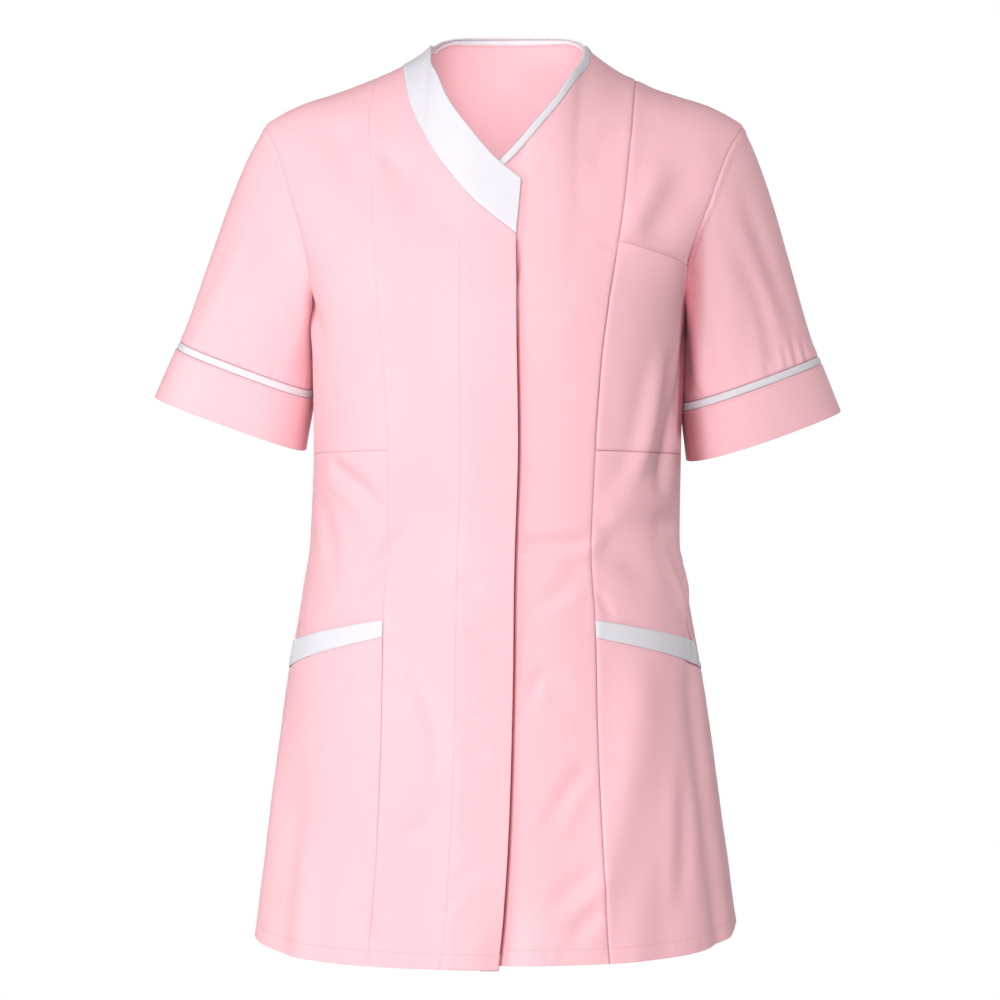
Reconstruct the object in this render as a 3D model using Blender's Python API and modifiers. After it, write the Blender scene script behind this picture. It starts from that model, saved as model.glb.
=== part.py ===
"""A short-sleeved medical tunic, filled out as it is worn, with nobody in it.

The cloth is a thin wall, cut into the pieces that a maker sews together. +X points to the
wearer's left, -Y to the front and +Z up. The origin lies midway between the two places where
the neckline crosses the shoulders. The tables are in millimetres and degrees, and the shapes
in metres.

The body is one hollow form, whose places are named by two numbers: the turn, in degrees from
the centre front (0) past the left side seam (90) to the centre back (180), and the level, in
millimetres above the origin. Each panel is stretched between its four seams on that form.
"""

import math
from collections import namedtuple

import bmesh
import bpy
import numpy as np

MM = 0.001

# Cloth and seams
WALL = 1.2
FOLDED_WALL = 1.7
HALF_GAP = 0.2
SIDE_GAP = 0.36
NECK_GAP = 0.34
RIDGE_EASE = 0.42
LAYER_GAP = 0.45

# Trims
BINDING_WIDTH = 6.5
BINDING_PROUD = 0.5
TRIM_WIDTH = 6.5
TRIM_PROUD = 0.7
CUFF_PROUD = 1.4
POCKET_PROUD = 0.8
POCKET_FADE_CELLS = 3
BAND_PROUD = 1.2

# Closure: the right front wraps over the left
LAP_WIDTH = 30.0
LAP_MARGIN = 6.0
LAP_FADE = 28.0
LAP_LIFT = 2.3
BAND_LIFT = 3.2
BAND_BASE = 0.5

# Body sections: half the width, the depth to the front and to the back, and how square the
# oval is (2 is an ellipse). The rows above 0 carry the form on up inside the neckline.
Section = namedtuple("Section", "level centre half front back square")
SECTIONS = (
    Section(60, 0.0, 226, 112, 106, 2.3),
    Section(0, 0.0, 224, 116, 110, 2.3),
    Section(-64, -4.0, 212, 119, 114, 2.3),
    Section(-90, -4.5, 203, 121, 116, 2.35),
    Section(-125, -5.0, 190, 123, 117, 2.4),
    Section(-160, -6.0, 174, 125, 117, 2.4),
    Section(-190, -7.0, 160, 127, 116, 2.4),
    Section(-215, -8.0, 152.5, 128, 114, 2.4),
    Section(-250, -8.5, 150.5, 128, 110, 2.4),
    Section(-330, -9.0, 149, 120, 102, 2.35),
    Section(-400, -11.0, 150, 113, 98, 2.3),
    Section(-440, -11.5, 155.5, 113, 102, 2.25),
    Section(-500, -11.5, 166.5, 118, 113, 2.2),
    Section(-600, -11.5, 180.5, 127, 126, 2.2),
    Section(-735, -11.5, 197.5, 139, 138, 2.2),
)
BUST_LEVEL = -250.0
TOP_ROUNDNESS = 1.4

# The shoulder ridge, and inside the neckline a virtual neck that the ridge climbs
Ridge = namedtuple("Ridge", "out level")
SHOULDER = (
    Ridge(0, 58),
    Ridge(25, 50),
    Ridge(45, 32),
    Ridge(56, 14),
    Ridge(62.5, 0),
    Ridge(74, -10.5),
    Ridge(98, -25.5),
    Ridge(138, -39),
    Ridge(162, -46),
    Ridge(178, -53),
    Ridge(194, -64),
    Ridge(214, -84),
)
SHOULDER_TIP = 194.0

# Edges and seams in the front view: how far out from the centre at each level
Edge = namedtuple("Edge", "level out")
NECKLINE = (
    Edge(0, 62.5),
    Edge(-16, 60.5),
    Edge(-29, 53.5),
    Edge(-48.5, 43),
    Edge(-69, 28),
    Edge(-99, 3),
    Edge(-115, -16),
    Edge(-122, -26),
)
BACK_NECK = (Ridge(0, 13.6), Ridge(20, 13.2), Ridge(40, 11.5), Ridge(55, 7), Ridge(62.5, 0))
BAND_EDGE = (
    Edge(-17.8, 85.5),
    Edge(-49, 75),
    Edge(-80, 59.5),
    Edge(-110, 38.5),
    Edge(-134, 17.5),
    Edge(-161, -16.5),
)
OPENING = (
    Edge(-107, 18.5),
    Edge(-160, 16.5),
    Edge(-215, 19),
    Edge(-330, 21),
    Edge(-480, 19.5),
    Edge(-620, 16),
    Edge(-690, 12),
    Edge(-735, 7.5),
)
PRINCESS = (
    Edge(-29.5, 105),
    Edge(-88, 99.5),
    Edge(-160, 95.5),
    Edge(-212, 90),
    Edge(-267, 84),
    Edge(-330, 80),
    Edge(-407, 80),
    Edge(-463, 83.5),
    Edge(-547, 85),
    Edge(-648, 88.5),
    Edge(-735, 94.5),
)
ARMHOLE = (
    Edge(-64, 194),
    Edge(-90, 180.5),
    Edge(-125, 169.5),
    Edge(-160, 157.5),
    Edge(-190, 151.3),
    Edge(-205, 150.8),
    Edge(-215, 152.5),
)

# How far each side seam is pulled round to the front, in degrees
Pull = namedtuple("Pull", "level right left")
SIDE_SEAM = (
    Pull(-215, 0, 0),
    Pull(-290, 4, 2),
    Pull(-350, 10, 5),
    Pull(-410, 15, 8),
    Pull(-470, 11, 6),
    Pull(-530, 5, 3),
    Pull(-600, 0, 0),
    Pull(-735, 0, 0),
)

# The lines that cross the panels: their levels at the centre front, at the princess seam and
# at the side, and the cells of cloth from each line up to the next
Line = namedtuple("Line", "name centre princess side cells")
LINES = (
    Line("hem", -732, -732, -732, 3),
    Line("pocket_bottom", -645, -640, -640, 4),
    Line("band_bottom", -485, -477, -505, 1),
    Line("band_top", -468, -463, -483, 4),
    Line("under_bust", -340, -330, -332, 3),
    Line("underarm", -215, -198, -215, 2),
    Line("pocket_mouth", -161, -168.5, -186, 8),
    Line("top", 0, 0, 0, 0),
)

# The hem's level round the body: the left front is cut a little shorter than the right
Hem = namedtuple("Hem", "turn right left back")
HEM = (
    Hem(0, -732, -728.5, -730),
    Hem(28, -730.5, -727.5, -729),
    Hem(48, -728.5, -724.5, -726),
    Hem(66, -723, -719.5, -721),
    Hem(78, -716, -714, -715),
    Hem(90, -708, -708, -708),
)
HEM_SIDE = -708.0
TOP_SPREAD = 2.0

# The largest folds: each runs from one place on the form to another, as a trough (depth
# above 0) or a ridge (below 0)
Fold = namedtuple("Fold", "name turn level to_turn to_level width depth")
FOLDS = (
    Fold("chest_right", -56, -62, -40, -165, 15, 2.6),
    Fold("chest_left", 58, -75, 44, -170, 14, 1.6),
    Fold("armpit_left", 76, -205, 50, -270, 14, 1.8),
    Fold("armpit_right", -78, -205, -56, -262, 14, 1.5),
    Fold("waist_right", -62, -345, -28, -405, 13, 1.8),
    Fold("waist_left", 66, -360, 34, -420, 13, 1.6),
    Fold("hip_left_front", 52, -520, 46, -735, 20, 3.0),
    Fold("hip_left_side", 74, -500, 70, -735, 17, -2.6),
    Fold("hip_right_front", -48, -540, -44, -735, 20, 2.2),
    Fold("hip_right_side", -76, -520, -72, -735, 18, -2.2),
    Fold("hem_centre", -8, -600, -12, -735, 24, 1.6),
    Fold("back_waist_left", 112, -330, 142, -410, 15, 2.2),
    Fold("back_waist_right", -110, -340, -138, -425, 15, 2.0),
    Fold("back_hip_left", 128, -470, 124, -735, 24, 3.2),
    Fold("back_hip_middle", 176, -430, 182, -735, 28, 3.0),
    Fold("back_hip_right", -130, -480, -126, -735, 24, 3.0),
    Fold("back_blade_left", 118, -150, 138, -240, 18, 2.0),
    Fold("back_blade_right", -118, -145, -140, -235, 18, 2.2),
)
FULL_TURN = 360.0

# Sleeves. Each ring is given in the front view by its outer and inner ends, with half its
# depth and how far its middle lies behind the side seam.
Ring = namedtuple("Ring", "out_x out_level in_x in_level half_depth behind")
Sleeve = namedtuple("Sleeve", "side sign cap_slope trim cuff")
SLEEVES = (
    Sleeve(
        "right", -1, 47, Ring(-267, -238, -160.5, -279, 50, 22), Ring(-289, -284, -167, -328, 53, 24)
    ),
    Sleeve(
        "left", 1, 57, Ring(251, -252, 148.5, -288, 50, 22), Ring(269, -297, 147.5, -334, 54, 24)
    ),
)
RING_TILT = 0.08
SLEEVE_CELLS = 7
CUFF_CELLS = 2
UNDERARM_SLOPE = 66.0
SLEEVE_FULLNESS = 0.8
ARMHOLE_GAP = 0.6

# Cells across each panel
FRONT_CELLS = 7
SHOULDER_CELLS = 2
SIDE_CELLS = 6
BACK_NECK_CELLS = 10
BAND_CELLS = 2

# Finish: base colour (linear), roughness
Finish = namedtuple("Finish", "name colour roughness")
PINK = Finish("pink_twill", (0.93, 0.59, 0.64), 0.85)
WHITE = Finish("white_twill", (0.88, 0.89, 0.93), 0.8)

COLLECTION = "medical_tunic"
NECK_SHOULDER = 62.5
RIDGE_REACH = 30.0
RIDGE_NARROWING = 0.26
PRINCESS_SHOULDER = 105.0
BAND_LOWEST = -117.0
BINDING_LOWEST = -111.0
LOWEST = -735.0
DEGREE_ARC = 2.6
EDGE_FADE = 3


def curve(rows, key, column):
    """A smooth function through one column of a table, with no overshoot between its rows."""
    rows = sorted(rows, key=lambda row: getattr(row, key))
    at = np.array([getattr(row, key) for row in rows], float)
    value = np.array([getattr(row, column) for row in rows], float)
    step = np.diff(at)
    slope = np.diff(value) / step
    before, after = slope[:-1], slope[1:]
    same_way = before * after > 0
    middle = np.where(same_way, 2 * before * after / np.where(same_way, before + after, 1), 0)
    tangent = np.concatenate([slope[:1], middle, slope[-1:]])

    def read(place):
        place = np.clip(place, at[0], at[-1])
        i = np.clip(np.searchsorted(at, place) - 1, 0, len(step) - 1)
        t = (place - at[i]) / step[i]
        rise = (value[i + 1] - value[i]) * t * t * (3 - 2 * t)
        bend = step[i] * t * (1 - t) * (tangent[i] * (1 - t) - tangent[i + 1] * t)
        return value[i] + rise + bend

    return read


def unit(vectors):
    """The same vectors, each one long."""
    return vectors / np.maximum(np.linalg.norm(vectors, axis=-1, keepdims=True), 1e-12)


def soft_step(amount):
    """0 up to 0, 1 from 1 on, and a smooth rise between."""
    amount = np.clip(amount, 0, 1)
    return amount * amount * (3 - 2 * amount)


centre_at = curve(SECTIONS, "level", "centre")
half_at = curve(SECTIONS, "level", "half")
front_at = curve(SECTIONS, "level", "front")
back_at = curve(SECTIONS, "level", "back")
square_at = curve(SECTIONS, "level", "square")
ridge_at = curve(SHOULDER, "out", "level")
neckline_at = curve(NECKLINE, "level", "out")
back_neck_at = curve(BACK_NECK, "out", "level")
band_edge_at = curve(BAND_EDGE, "level", "out")
opening_at = curve(OPENING, "level", "out")
princess_at = curve(PRINCESS, "level", "out")
armhole_at = curve(ARMHOLE, "level", "out")


# ---- the form ----


def turn_of(out, level):
    """The turn on the front where the form is this far out from its centre."""
    share = np.clip(np.abs(out) / half_at(level), 0, 1)
    return np.sign(out) * np.degrees(np.arcsin(share ** (square_at(level) / 2)))


def fold_depth(turn, level):
    """How far the largest folds push the cloth in at a place on the form."""
    per_degree = half_at(level) * math.pi / 180
    depth = np.zeros(np.broadcast(turn, level).shape)
    for fold in FOLDS:
        length = math.hypot((fold.to_turn - fold.turn) * DEGREE_ARC, fold.to_level - fold.level)
        for lap in (-FULL_TURN, 0, FULL_TURN):
            across = (turn + lap - fold.turn) * per_degree
            down = level - fold.level
            run_across = (fold.to_turn - fold.turn) * per_degree / length
            run_down = (fold.to_level - fold.level) / length
            along = across * run_across + down * run_down
            aside = across * run_down - down * run_across
            share = np.clip(along / length, 0, 1)
            past = along - share * length
            if fold.to_level <= HEM_SIDE:
                strength = soft_step(share)
            else:
                strength = np.sin(math.pi * share) ** 2
            depth += fold.depth * strength * np.exp(-(aside**2 + past**2) / fold.width**2)
    return depth


def skin(turn, level):
    """Points on the outer face of the body cloth, in metres."""
    turn, level = np.broadcast_arrays(np.asarray(turn, float), np.asarray(level, float))
    angle = np.radians(turn)
    power = 2 / square_at(level)
    side = np.sign(np.sin(angle)) * np.abs(np.sin(angle)) ** power
    ahead = np.sign(np.cos(angle)) * np.abs(np.cos(angle)) ** power
    out = half_at(level) * side
    ridge = ridge_at(np.abs(out))
    rise = np.clip((ridge - level) / (ridge - BUST_LEVEL), 0, 1)
    closing = np.sqrt(1 - (1 - rise) ** TOP_ROUNDNESS)
    depth = np.where(ahead > 0, front_at(level), back_at(level))
    push = fold_depth(turn, level) * closing
    x = centre_at(level) + out - push * np.sin(angle)
    y = -depth * ahead * closing + push * np.cos(angle)
    return np.stack([x, y, level], axis=-1) * MM


def lifted(points, by):
    """A grid of points moved along its own normals by so many millimetres, outwards above 0."""
    along = np.gradient(points, axis=1)
    up = np.gradient(points, axis=0)
    return points + unit(np.cross(along, up)) * (np.asarray(by, float) * MM)[..., None]


def eased(points, left=HALF_GAP, right=HALF_GAP, low=HALF_GAP, high=HALF_GAP):
    """A grid with each edge drawn in, square to itself, by its share of the gap at the seam.

    Each share is one number, or one for each point along the edge.
    """
    along = np.gradient(points, axis=1)
    up = np.gradient(points, axis=0)
    normal = unit(np.cross(along, up))
    aside = unit(np.cross(up, normal)) * MM
    upward = unit(np.cross(normal, along)) * MM
    left, right, low, high = (np.reshape(share, (-1, 1)) for share in (left, right, low, high))
    points = points.copy()
    points[:, 0] += aside[:, 0] * left
    points[:, -1] -= aside[:, -1] * right
    points[0] += upward[0] * low
    points[-1] -= upward[-1] * high
    return points


# ---- edges and seams, as (turn, level) at each station ----


def stations(column, low, high, low_level=None, high_level=None):
    """The levels along a seam from one line to another, at the lines' own divisions."""
    names = [line.name for line in LINES]
    first, last = names.index(low), names.index(high)
    ends = [getattr(line, column) for line in LINES]
    ends[first] = ends[first] if low_level is None else low_level
    ends[last] = ends[last] if high_level is None else high_level
    levels = [ends[first]]
    for i in range(first, last):
        share = np.linspace(0, 1, LINES[i].cells + 1)[1:]
        if names[i + 1] == "top":
            share = 1 - (1 - share) ** TOP_SPREAD
        levels.extend(ends[i] + (ends[i + 1] - ends[i]) * share)
    return np.array(levels, float)


def hem_level(turn, panel):
    """The hem's level on the right or left front or the back: lowest at the centres."""
    from_centre = np.degrees(np.arcsin(np.abs(np.sin(np.radians(turn)))))
    return curve(HEM, "turn", panel)(from_centre)


def side_name(sign):
    """The wearer's side on the left (above 0) or the right."""
    return "left" if sign > 0 else "right"


def places(outs, levels, back=False):
    """(turn, level) of points given by how far out they are in the front view."""
    turns = turn_of(np.asarray(outs, float), levels)
    return np.stack([180 - turns if back else turns, levels], axis=-1)


def princess(sign, low="hem", high="top"):
    """The seam between the centre front and the side front."""
    hem = hem_level(turn_of(princess_at(LOWEST), LOWEST), side_name(sign))
    levels = stations(
        "princess",
        low,
        high,
        hem if low == "hem" else None,
        ridge_at(PRINCESS_SHOULDER) if high == "top" else None,
    )
    return places(sign * princess_at(levels), levels)


def rows_between(low, high):
    """How many rows of cells lie between two of the lines."""
    names = [line.name for line in LINES]
    return sum(line.cells for line in LINES[names.index(low) : names.index(high)])


def front_edge(out_at, neck, panel):
    """A front edge from the hem to its corner, and on up the neckline (out, level)."""
    levels = stations("centre", "hem", "pocket_mouth", LOWEST, neck[0, 1])
    edge = places(np.append(out_at(levels[:-1]), neck[0, 0]), levels)
    edge[0, 1] = hem_level(edge[0, 0], panel)
    return np.concatenate([edge, places(neck[1:, 0], neck[1:, 1])])


def side_seam(sign, low="hem", high="underarm"):
    """The seam between the side front and the back, up to the underarm."""
    levels = stations("side", low, high, HEM_SIDE if low == "hem" else None)
    pull = curve(SIDE_SEAM, "level", side_name(sign))
    return np.stack([sign * (90 - pull(levels)), levels], axis=-1)


def armhole(sign, back=False, high="top"):
    """The armhole from the underarm to the shoulder tip, on the front or on the back."""
    tip = ridge_at(SHOULDER_TIP)
    levels = stations("side", "underarm", high, None, tip if high == "top" else None)
    edge = places(sign * armhole_at(levels), levels, back)
    edge[0, 0] = 90 if sign > 0 else -90
    if back and sign < 0:
        edge[0, 0] += FULL_TURN
    return edge


def ridge(outs, back=False):
    """The shoulder seam at these distances out from the centre, left above 0."""
    return places(outs, ridge_at(np.abs(outs)), back)


def neck_share():
    """Shares of the way up the front neckline, close together near the shoulder."""
    cells = rows_between("pocket_mouth", "top")
    return 1 - np.linspace(1, 0, cells + 1) ** TOP_SPREAD


def beside(outs, levels, out_by, level_by):
    """(out, level) of a line beside another, which keeps its depth below the shoulder ridge."""
    reach = (ridge_at(np.abs(outs)) - levels) / RIDGE_REACH
    near = 1 - soft_step(reach)
    new_outs = outs + out_by * (1 - RIDGE_NARROWING * near)
    on_ridge = ridge_at(np.abs(new_outs)) - ridge_at(np.abs(outs))
    return new_outs, levels + on_ridge * near + level_by * (1 - near)


def neckline(lowest, aside=0.0):
    """(out, level) up the front neckline to the shoulder, or of a line beside it."""
    levels = lowest * (1 - neck_share())
    outs = neckline_at(levels)
    run = unit(np.stack([np.gradient(outs), np.gradient(levels)], axis=-1))
    return np.stack(beside(outs, levels, run[:, 1] * aside, -run[:, 0] * aside), axis=-1)


def band_edge():
    """(out, level) up the neck band's outer edge from the opening to the shoulder."""
    top, end = BAND_EDGE[0].level, BAND_EDGE[-1].level
    levels = end + (top - end) * neck_share()
    outs = band_edge_at(levels)
    return np.stack([outs, np.minimum(levels, ridge_at(np.abs(outs)))], axis=-1)


def back_neck(aside=0.0):
    """The back neckline from the wearer's left to right, or a line below it."""
    angles = np.linspace(math.pi / 2, -math.pi / 2, BACK_NECK_CELLS + 1)
    outs = NECK_SHOULDER * np.sin(angles)
    levels = back_neck_at(np.abs(outs))
    outs, levels = beside(outs, levels, aside * np.sin(angles), -aside * np.cos(angles))
    return places(outs, levels, back=True)


def shares(*edges):
    """The share of the way along at each station, as the mean of the edges' own shares."""
    total = 0
    for edge in edges:
        steps = np.hypot(*(np.diff(edge, axis=0) * (DEGREE_ARC, 1)).T)
        total = total + np.concatenate([[0], np.cumsum(steps)]) / steps.sum()
    return total / len(edges)


def patch(left, right, low, high):
    """A grid of places stretched between four edges that meet at their ends.

    The bends of the low and high edges die away faster than the distance from them grows, so
    that the rows between are nearly level.
    """
    rows = shares(left, right)[:, None, None]
    columns = np.linspace(0, 1, len(low))[None, :, None]
    sides = left[:, None] * (1 - columns) + right[:, None] * columns
    bend_low = low[None] - (low[0] * (1 - columns) + low[-1] * columns)
    bend_high = high[None] - (high[0] * (1 - columns) + high[-1] * columns)
    return sides + bend_low * (1 - rows) ** EDGE_FADE + bend_high * rows**EDGE_FADE


def between(start, end, cells):
    """A straight run of places from one end to the other."""
    share = np.linspace(0, 1, cells + 1)[:, None]
    return start * (1 - share) + end * share


def hem_between(start, end, cells, panel):
    """The hem from one end to the other."""
    edge = between(start, end, cells)
    edge[:, 1] = hem_level(edge[:, 0], panel)
    return edge


# ---- from places to cloth ----


def skin_of(grid):
    """The skin at a grid of places."""
    return skin(grid[..., 0], grid[..., 1])


def lap_lift(points, lift, base=0.0):
    """How far the right front is lifted near its edge, where the left front lies under it."""
    level = points[..., 2] / MM
    inside = opening_at(level) - (points[..., 0] / MM - centre_at(level))
    return base + (lift - base) * (1 - soft_step((inside - LAP_WIDTH - LAP_MARGIN) / LAP_FADE))


def material_of(finish):
    """The material of a finish, made once."""
    material = bpy.data.materials.get(finish.name)
    if material is None:
        material = bpy.data.materials.new(finish.name)
        material.use_nodes = True
        shader = material.node_tree.nodes["Principled BSDF"]
        shader.inputs["Base Color"].default_value = (*finish.colour, 1)
        shader.inputs["Roughness"].default_value = finish.roughness
        shader.inputs["Metallic"].default_value = 0
    return material


def cloth(name, points, finish, wall=WALL, closed=False):
    """A piece of cloth: a grid laid on the points, with a wall on its inner side."""
    rows, columns = points.shape[:2]
    mesh = bmesh.new()
    bmesh.ops.create_grid(mesh, x_segments=columns - 1, y_segments=rows - 1, size=0.5)
    for vertex in mesh.verts:
        column = round((vertex.co.x + 0.5) * (columns - 1))
        row = round((vertex.co.y + 0.5) * (rows - 1))
        vertex.co = points[row, column]
    if closed:
        bmesh.ops.remove_doubles(mesh, verts=mesh.verts, dist=1e-6)
    data = bpy.data.meshes.new(name)
    mesh.to_mesh(data)
    mesh.free()
    data.shade_smooth()
    data.materials.append(material_of(finish))
    piece = bpy.data.objects.new(name, data)
    bpy.data.collections[COLLECTION].objects.link(piece)
    solidify = piece.modifiers.new("wall", "SOLIDIFY")
    solidify.thickness = wall * MM
    solidify.offset = -1
    solidify.use_quality_normals = True


# ---- the pieces ----


def centre_front(sign, neck, out_at):
    """The points of a centre front, from its own edge and neckline (out, level)."""
    panel = side_name(sign)
    own, seam = front_edge(out_at, neck, panel), princess(sign)
    left, right = (own, seam) if sign > 0 else (seam, own)
    outs = np.linspace(sign * neck[-1, 0], PRINCESS_SHOULDER, FRONT_CELLS + 1)
    shoulder = ridge(sign * outs)[::sign]
    hem = hem_between(left[0], right[0], FRONT_CELLS, panel)
    return skin_of(patch(left, right, hem, shoulder))


def centre_fronts():
    """The right front, and the left one, which it wraps over."""
    corner = rows_between("hem", "pocket_mouth")
    points = centre_front(-1, band_edge() * (-1, 1), opening_at)
    points = lifted(points, lap_lift(points, LAP_LIFT))
    by_neck = np.where(np.arange(len(points)) > corner, NECK_GAP, 0)
    cloth("front_right", eased(points, right=by_neck, low=0, high=RIDGE_EASE), PINK)

    neck = neckline(BINDING_LOWEST, BINDING_WIDTH)
    points = centre_front(1, neck, lambda level: opening_at(level) - LAP_WIDTH)
    by_neck = np.where(np.arange(len(points)) >= corner, NECK_GAP, 0)
    cloth("front_left", eased(points, left=by_neck, low=0, high=RIDGE_EASE), PINK)


def side_panel(sign, low, high, low_edge=None, high_edge=None):
    """Points between the princess seam and the side, in order of their turns."""
    outer = side_seam(sign, low, "underarm" if high == "top" else high)
    if high in ("pocket_mouth", "top"):
        outer = np.concatenate([side_seam(sign, low), armhole(sign, high=high)[1:]])
    left, right = princess(sign, low, high), outer
    if sign < 0:
        left, right = right, left
    low_edge = between(left[0], right[0], SIDE_CELLS) if low_edge is None else low_edge[::sign]
    high_edge = between(left[-1], right[-1], SIDE_CELLS) if high_edge is None else high_edge[::sign]
    return skin_of(patch(left, right, low_edge, high_edge))


def side_fronts(side, sign):
    """The upper and lower side fronts, with the hip pocket and its band."""
    seams = {"right": SIDE_GAP} if sign > 0 else {"left": SIDE_GAP}
    under_band = BAND_PROUD - FOLDED_WALL - LAYER_GAP

    shoulder = ridge(sign * np.linspace(PRINCESS_SHOULDER, SHOULDER_TIP, SIDE_CELLS + 1))
    points = side_panel(sign, "under_bust", "top", high_edge=shoulder)
    if sign > 0:
        top = rows_between("under_bust", "pocket_mouth") + 1
        proud = POCKET_PROUD * np.clip(np.arange(SIDE_CELLS, -1, -1) / POCKET_FADE_CELLS, 0, 1)
        proud = np.broadcast_to(proud, points[:top].shape[:2])
        pocket = eased(lifted(points[:top], proud), high=0, **seams)
        cloth(f"chest_pocket_{side}", pocket, PINK)
        under = np.zeros(points.shape[:2])
        under[:top] = proud - WALL - LAYER_GAP
        points = lifted(points, under)
    cloth(f"upper_side_{side}", eased(points, high=RIDGE_EASE, **seams), PINK)

    hem = hem_between(princess(sign)[0], side_seam(sign)[0], SIDE_CELLS, side)
    points = side_panel(sign, "hem", "band_bottom", low_edge=hem)
    proud = np.linspace(0, POCKET_PROUD, len(points))
    pocket = lifted(points, np.broadcast_to(proud[:, None], points.shape[:2]))
    cloth(f"hip_pocket_{side}", eased(pocket, low=0, **seams), PINK)

    points = side_panel(sign, "pocket_bottom", "under_bust")
    under = np.zeros(len(points))
    behind = proud[rows_between("hem", "pocket_bottom") :] - WALL - LAYER_GAP
    under[: len(behind)] = np.minimum(behind, under_band)
    under[rows_between("pocket_bottom", "band_top")] = under_band
    points = lifted(points, np.broadcast_to(under[:, None], points.shape[:2]))
    cloth(f"lower_side_{side}", eased(points, low=0, **seams), PINK)

    points = side_panel(sign, "band_bottom", "band_top")
    points = lifted(points, np.full(points.shape[:2], BAND_PROUD))
    cloth(f"pocket_band_{side}", eased(points, high=0, **seams), WHITE, FOLDED_WALL)


def back():
    """The back, in one piece from side seam to side seam."""
    left = np.concatenate([side_seam(1), armhole(1, back=True)[1:]])
    right = np.concatenate([side_seam(-1) + (FULL_TURN, 0), armhole(-1, back=True)[1:]])
    neck = back_neck(BINDING_WIDTH)
    side = np.linspace(SHOULDER_TIP, PRINCESS_SHOULDER, SIDE_CELLS + 1)
    out = NECK_SHOULDER + BINDING_WIDTH * (1 - RIDGE_NARROWING)
    shoulder = np.concatenate([side, np.linspace(PRINCESS_SHOULDER, out, SHOULDER_CELLS + 1)[1:]])
    first, last = ridge(shoulder, back=True), ridge(-shoulder[::-1], back=True)
    high = np.concatenate([first, neck[1:-1], last])
    grid = patch(left, right, hem_between(left[0], right[0], len(high) - 1, "back"), high)
    count = np.arange(len(high))
    on_ridge = np.minimum(count, count[::-1]) < len(shoulder)
    ease = np.where(on_ridge, RIDGE_EASE, NECK_GAP)
    cloth("back", eased(skin_of(grid), SIDE_GAP, SIDE_GAP, 0, ease), PINK)


def neck_trims():
    """The wide band on the right front and the binding of the left front and the back."""
    inner, outer = neckline(BAND_LOWEST)[::-1], band_edge()[::-1]
    share = np.linspace(0, 1, BAND_CELLS + 1)[:, None, None]
    rows = outer * (1 - share) + inner * share
    rows[..., 1] = np.minimum(rows[..., 1], ridge_at(np.abs(rows[..., 0])))
    points = skin_of(places(-rows[..., 0], rows[..., 1]))
    points = lifted(points, lap_lift(points, BAND_LIFT, BAND_BASE))
    cloth("neck_band", eased(points, RIDGE_EASE, 0, NECK_GAP, 0), WHITE, FOLDED_WALL)

    rows = []
    for aside in (BINDING_WIDTH, 0):
        front = neckline(BINDING_LOWEST, aside)
        rows.append(np.concatenate([places(front[:, 0], front[:, 1]), back_neck(aside)[1:]]))
    points = skin_of(np.stack(rows))
    points = lifted(points, np.full(points.shape[:2], BINDING_PROUD))
    points = eased(points, 0, RIDGE_EASE, NECK_GAP, 0)
    cloth("neck_binding", points, WHITE, FOLDED_WALL)


def ring_points(ring, angles):
    """Points of a sleeve's ring: angle 0 is next to the body and a quarter turn the front."""
    outer = np.array([ring.out_x, ring.out_level])
    inner = np.array([ring.in_x, ring.in_level])
    middle, arm = (outer + inner) / 2, (inner - outer) / 2
    x, z = (middle[k] + arm[k] * np.cos(angles) for k in (0, 1))
    forward = ring.half_depth * np.sin(angles)
    return np.stack([x, ring.behind - forward, z - RING_TILT * forward], axis=-1) * MM


def sleeve_pieces(sleeve):
    """A sleeve from the armhole to its trim, the trim, and the cuff."""
    sign = sleeve.sign
    front, rear = armhole(sign), armhole(sign, back=True)[::-1]
    start = skin_of(np.concatenate([front, rear[1:]]))
    run = np.concatenate([[0], np.cumsum(np.linalg.norm(np.diff(start, axis=0), axis=1))])
    tip = len(front) - 1
    angles = np.concatenate(
        [
            math.pi * run[: tip + 1] / run[tip],
            math.pi * (1 + (run[tip + 1 :] - run[tip]) / (run[-1] - run[tip])),
        ]
    )
    over = (1 - np.cos(angles)) / 2
    slope = np.radians(UNDERARM_SLOPE + (sleeve.cap_slope - UNDERARM_SLOPE) * over)
    leave = np.stack([sign * np.cos(slope), 0 * slope, -np.sin(slope)], axis=-1)
    aside = unit(np.stack([sign + 0 * over, 0 * over, -over], axis=-1))
    start = start + aside * ARMHOLE_GAP * MM
    end, cuff = ring_points(sleeve.trim, angles), ring_points(sleeve.cuff, angles)
    onward = unit(cuff - end)
    reach = np.linalg.norm(end - start, axis=-1, keepdims=True) * SLEEVE_FULLNESS

    t = np.linspace(0, 1, SLEEVE_CELLS + 1)[:, None, None]
    tube = start * (1 - t * t * (3 - 2 * t)) + end * t * t * (3 - 2 * t)
    tube = tube + reach * t * (1 - t) * (leave * (1 - t) - onward * t)
    trim = np.stack([end, end + onward * TRIM_WIDTH * MM])
    share = np.linspace(0, 1, CUFF_CELLS + 1)[:, None, None]
    turned = trim[1] * (1 - share) + cuff * share
    pieces = (
        ("sleeve", tube, 0, 0, HALF_GAP, PINK, WALL),
        ("sleeve_trim", trim, TRIM_PROUD, HALF_GAP, HALF_GAP, WHITE, WALL + TRIM_PROUD),
        ("cuff", turned, CUFF_PROUD, HALF_GAP, 0, PINK, WALL + CUFF_PROUD),
    )
    for name, points, proud, first_gap, last_gap, finish, wall in pieces:
        points = points[:, ::-1] if sign > 0 else points
        points = eased(points, 0, 0, first_gap, last_gap)
        ends = points[:, [-2]], points[:, [1]]
        wrapped = np.concatenate([ends[0], points, ends[1]], axis=1)
        points = lifted(wrapped, np.full(wrapped.shape[:2], proud))[:, 1:-1]
        cloth(f"{name}_{sleeve.side}", points, finish, wall, closed=True)


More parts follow.
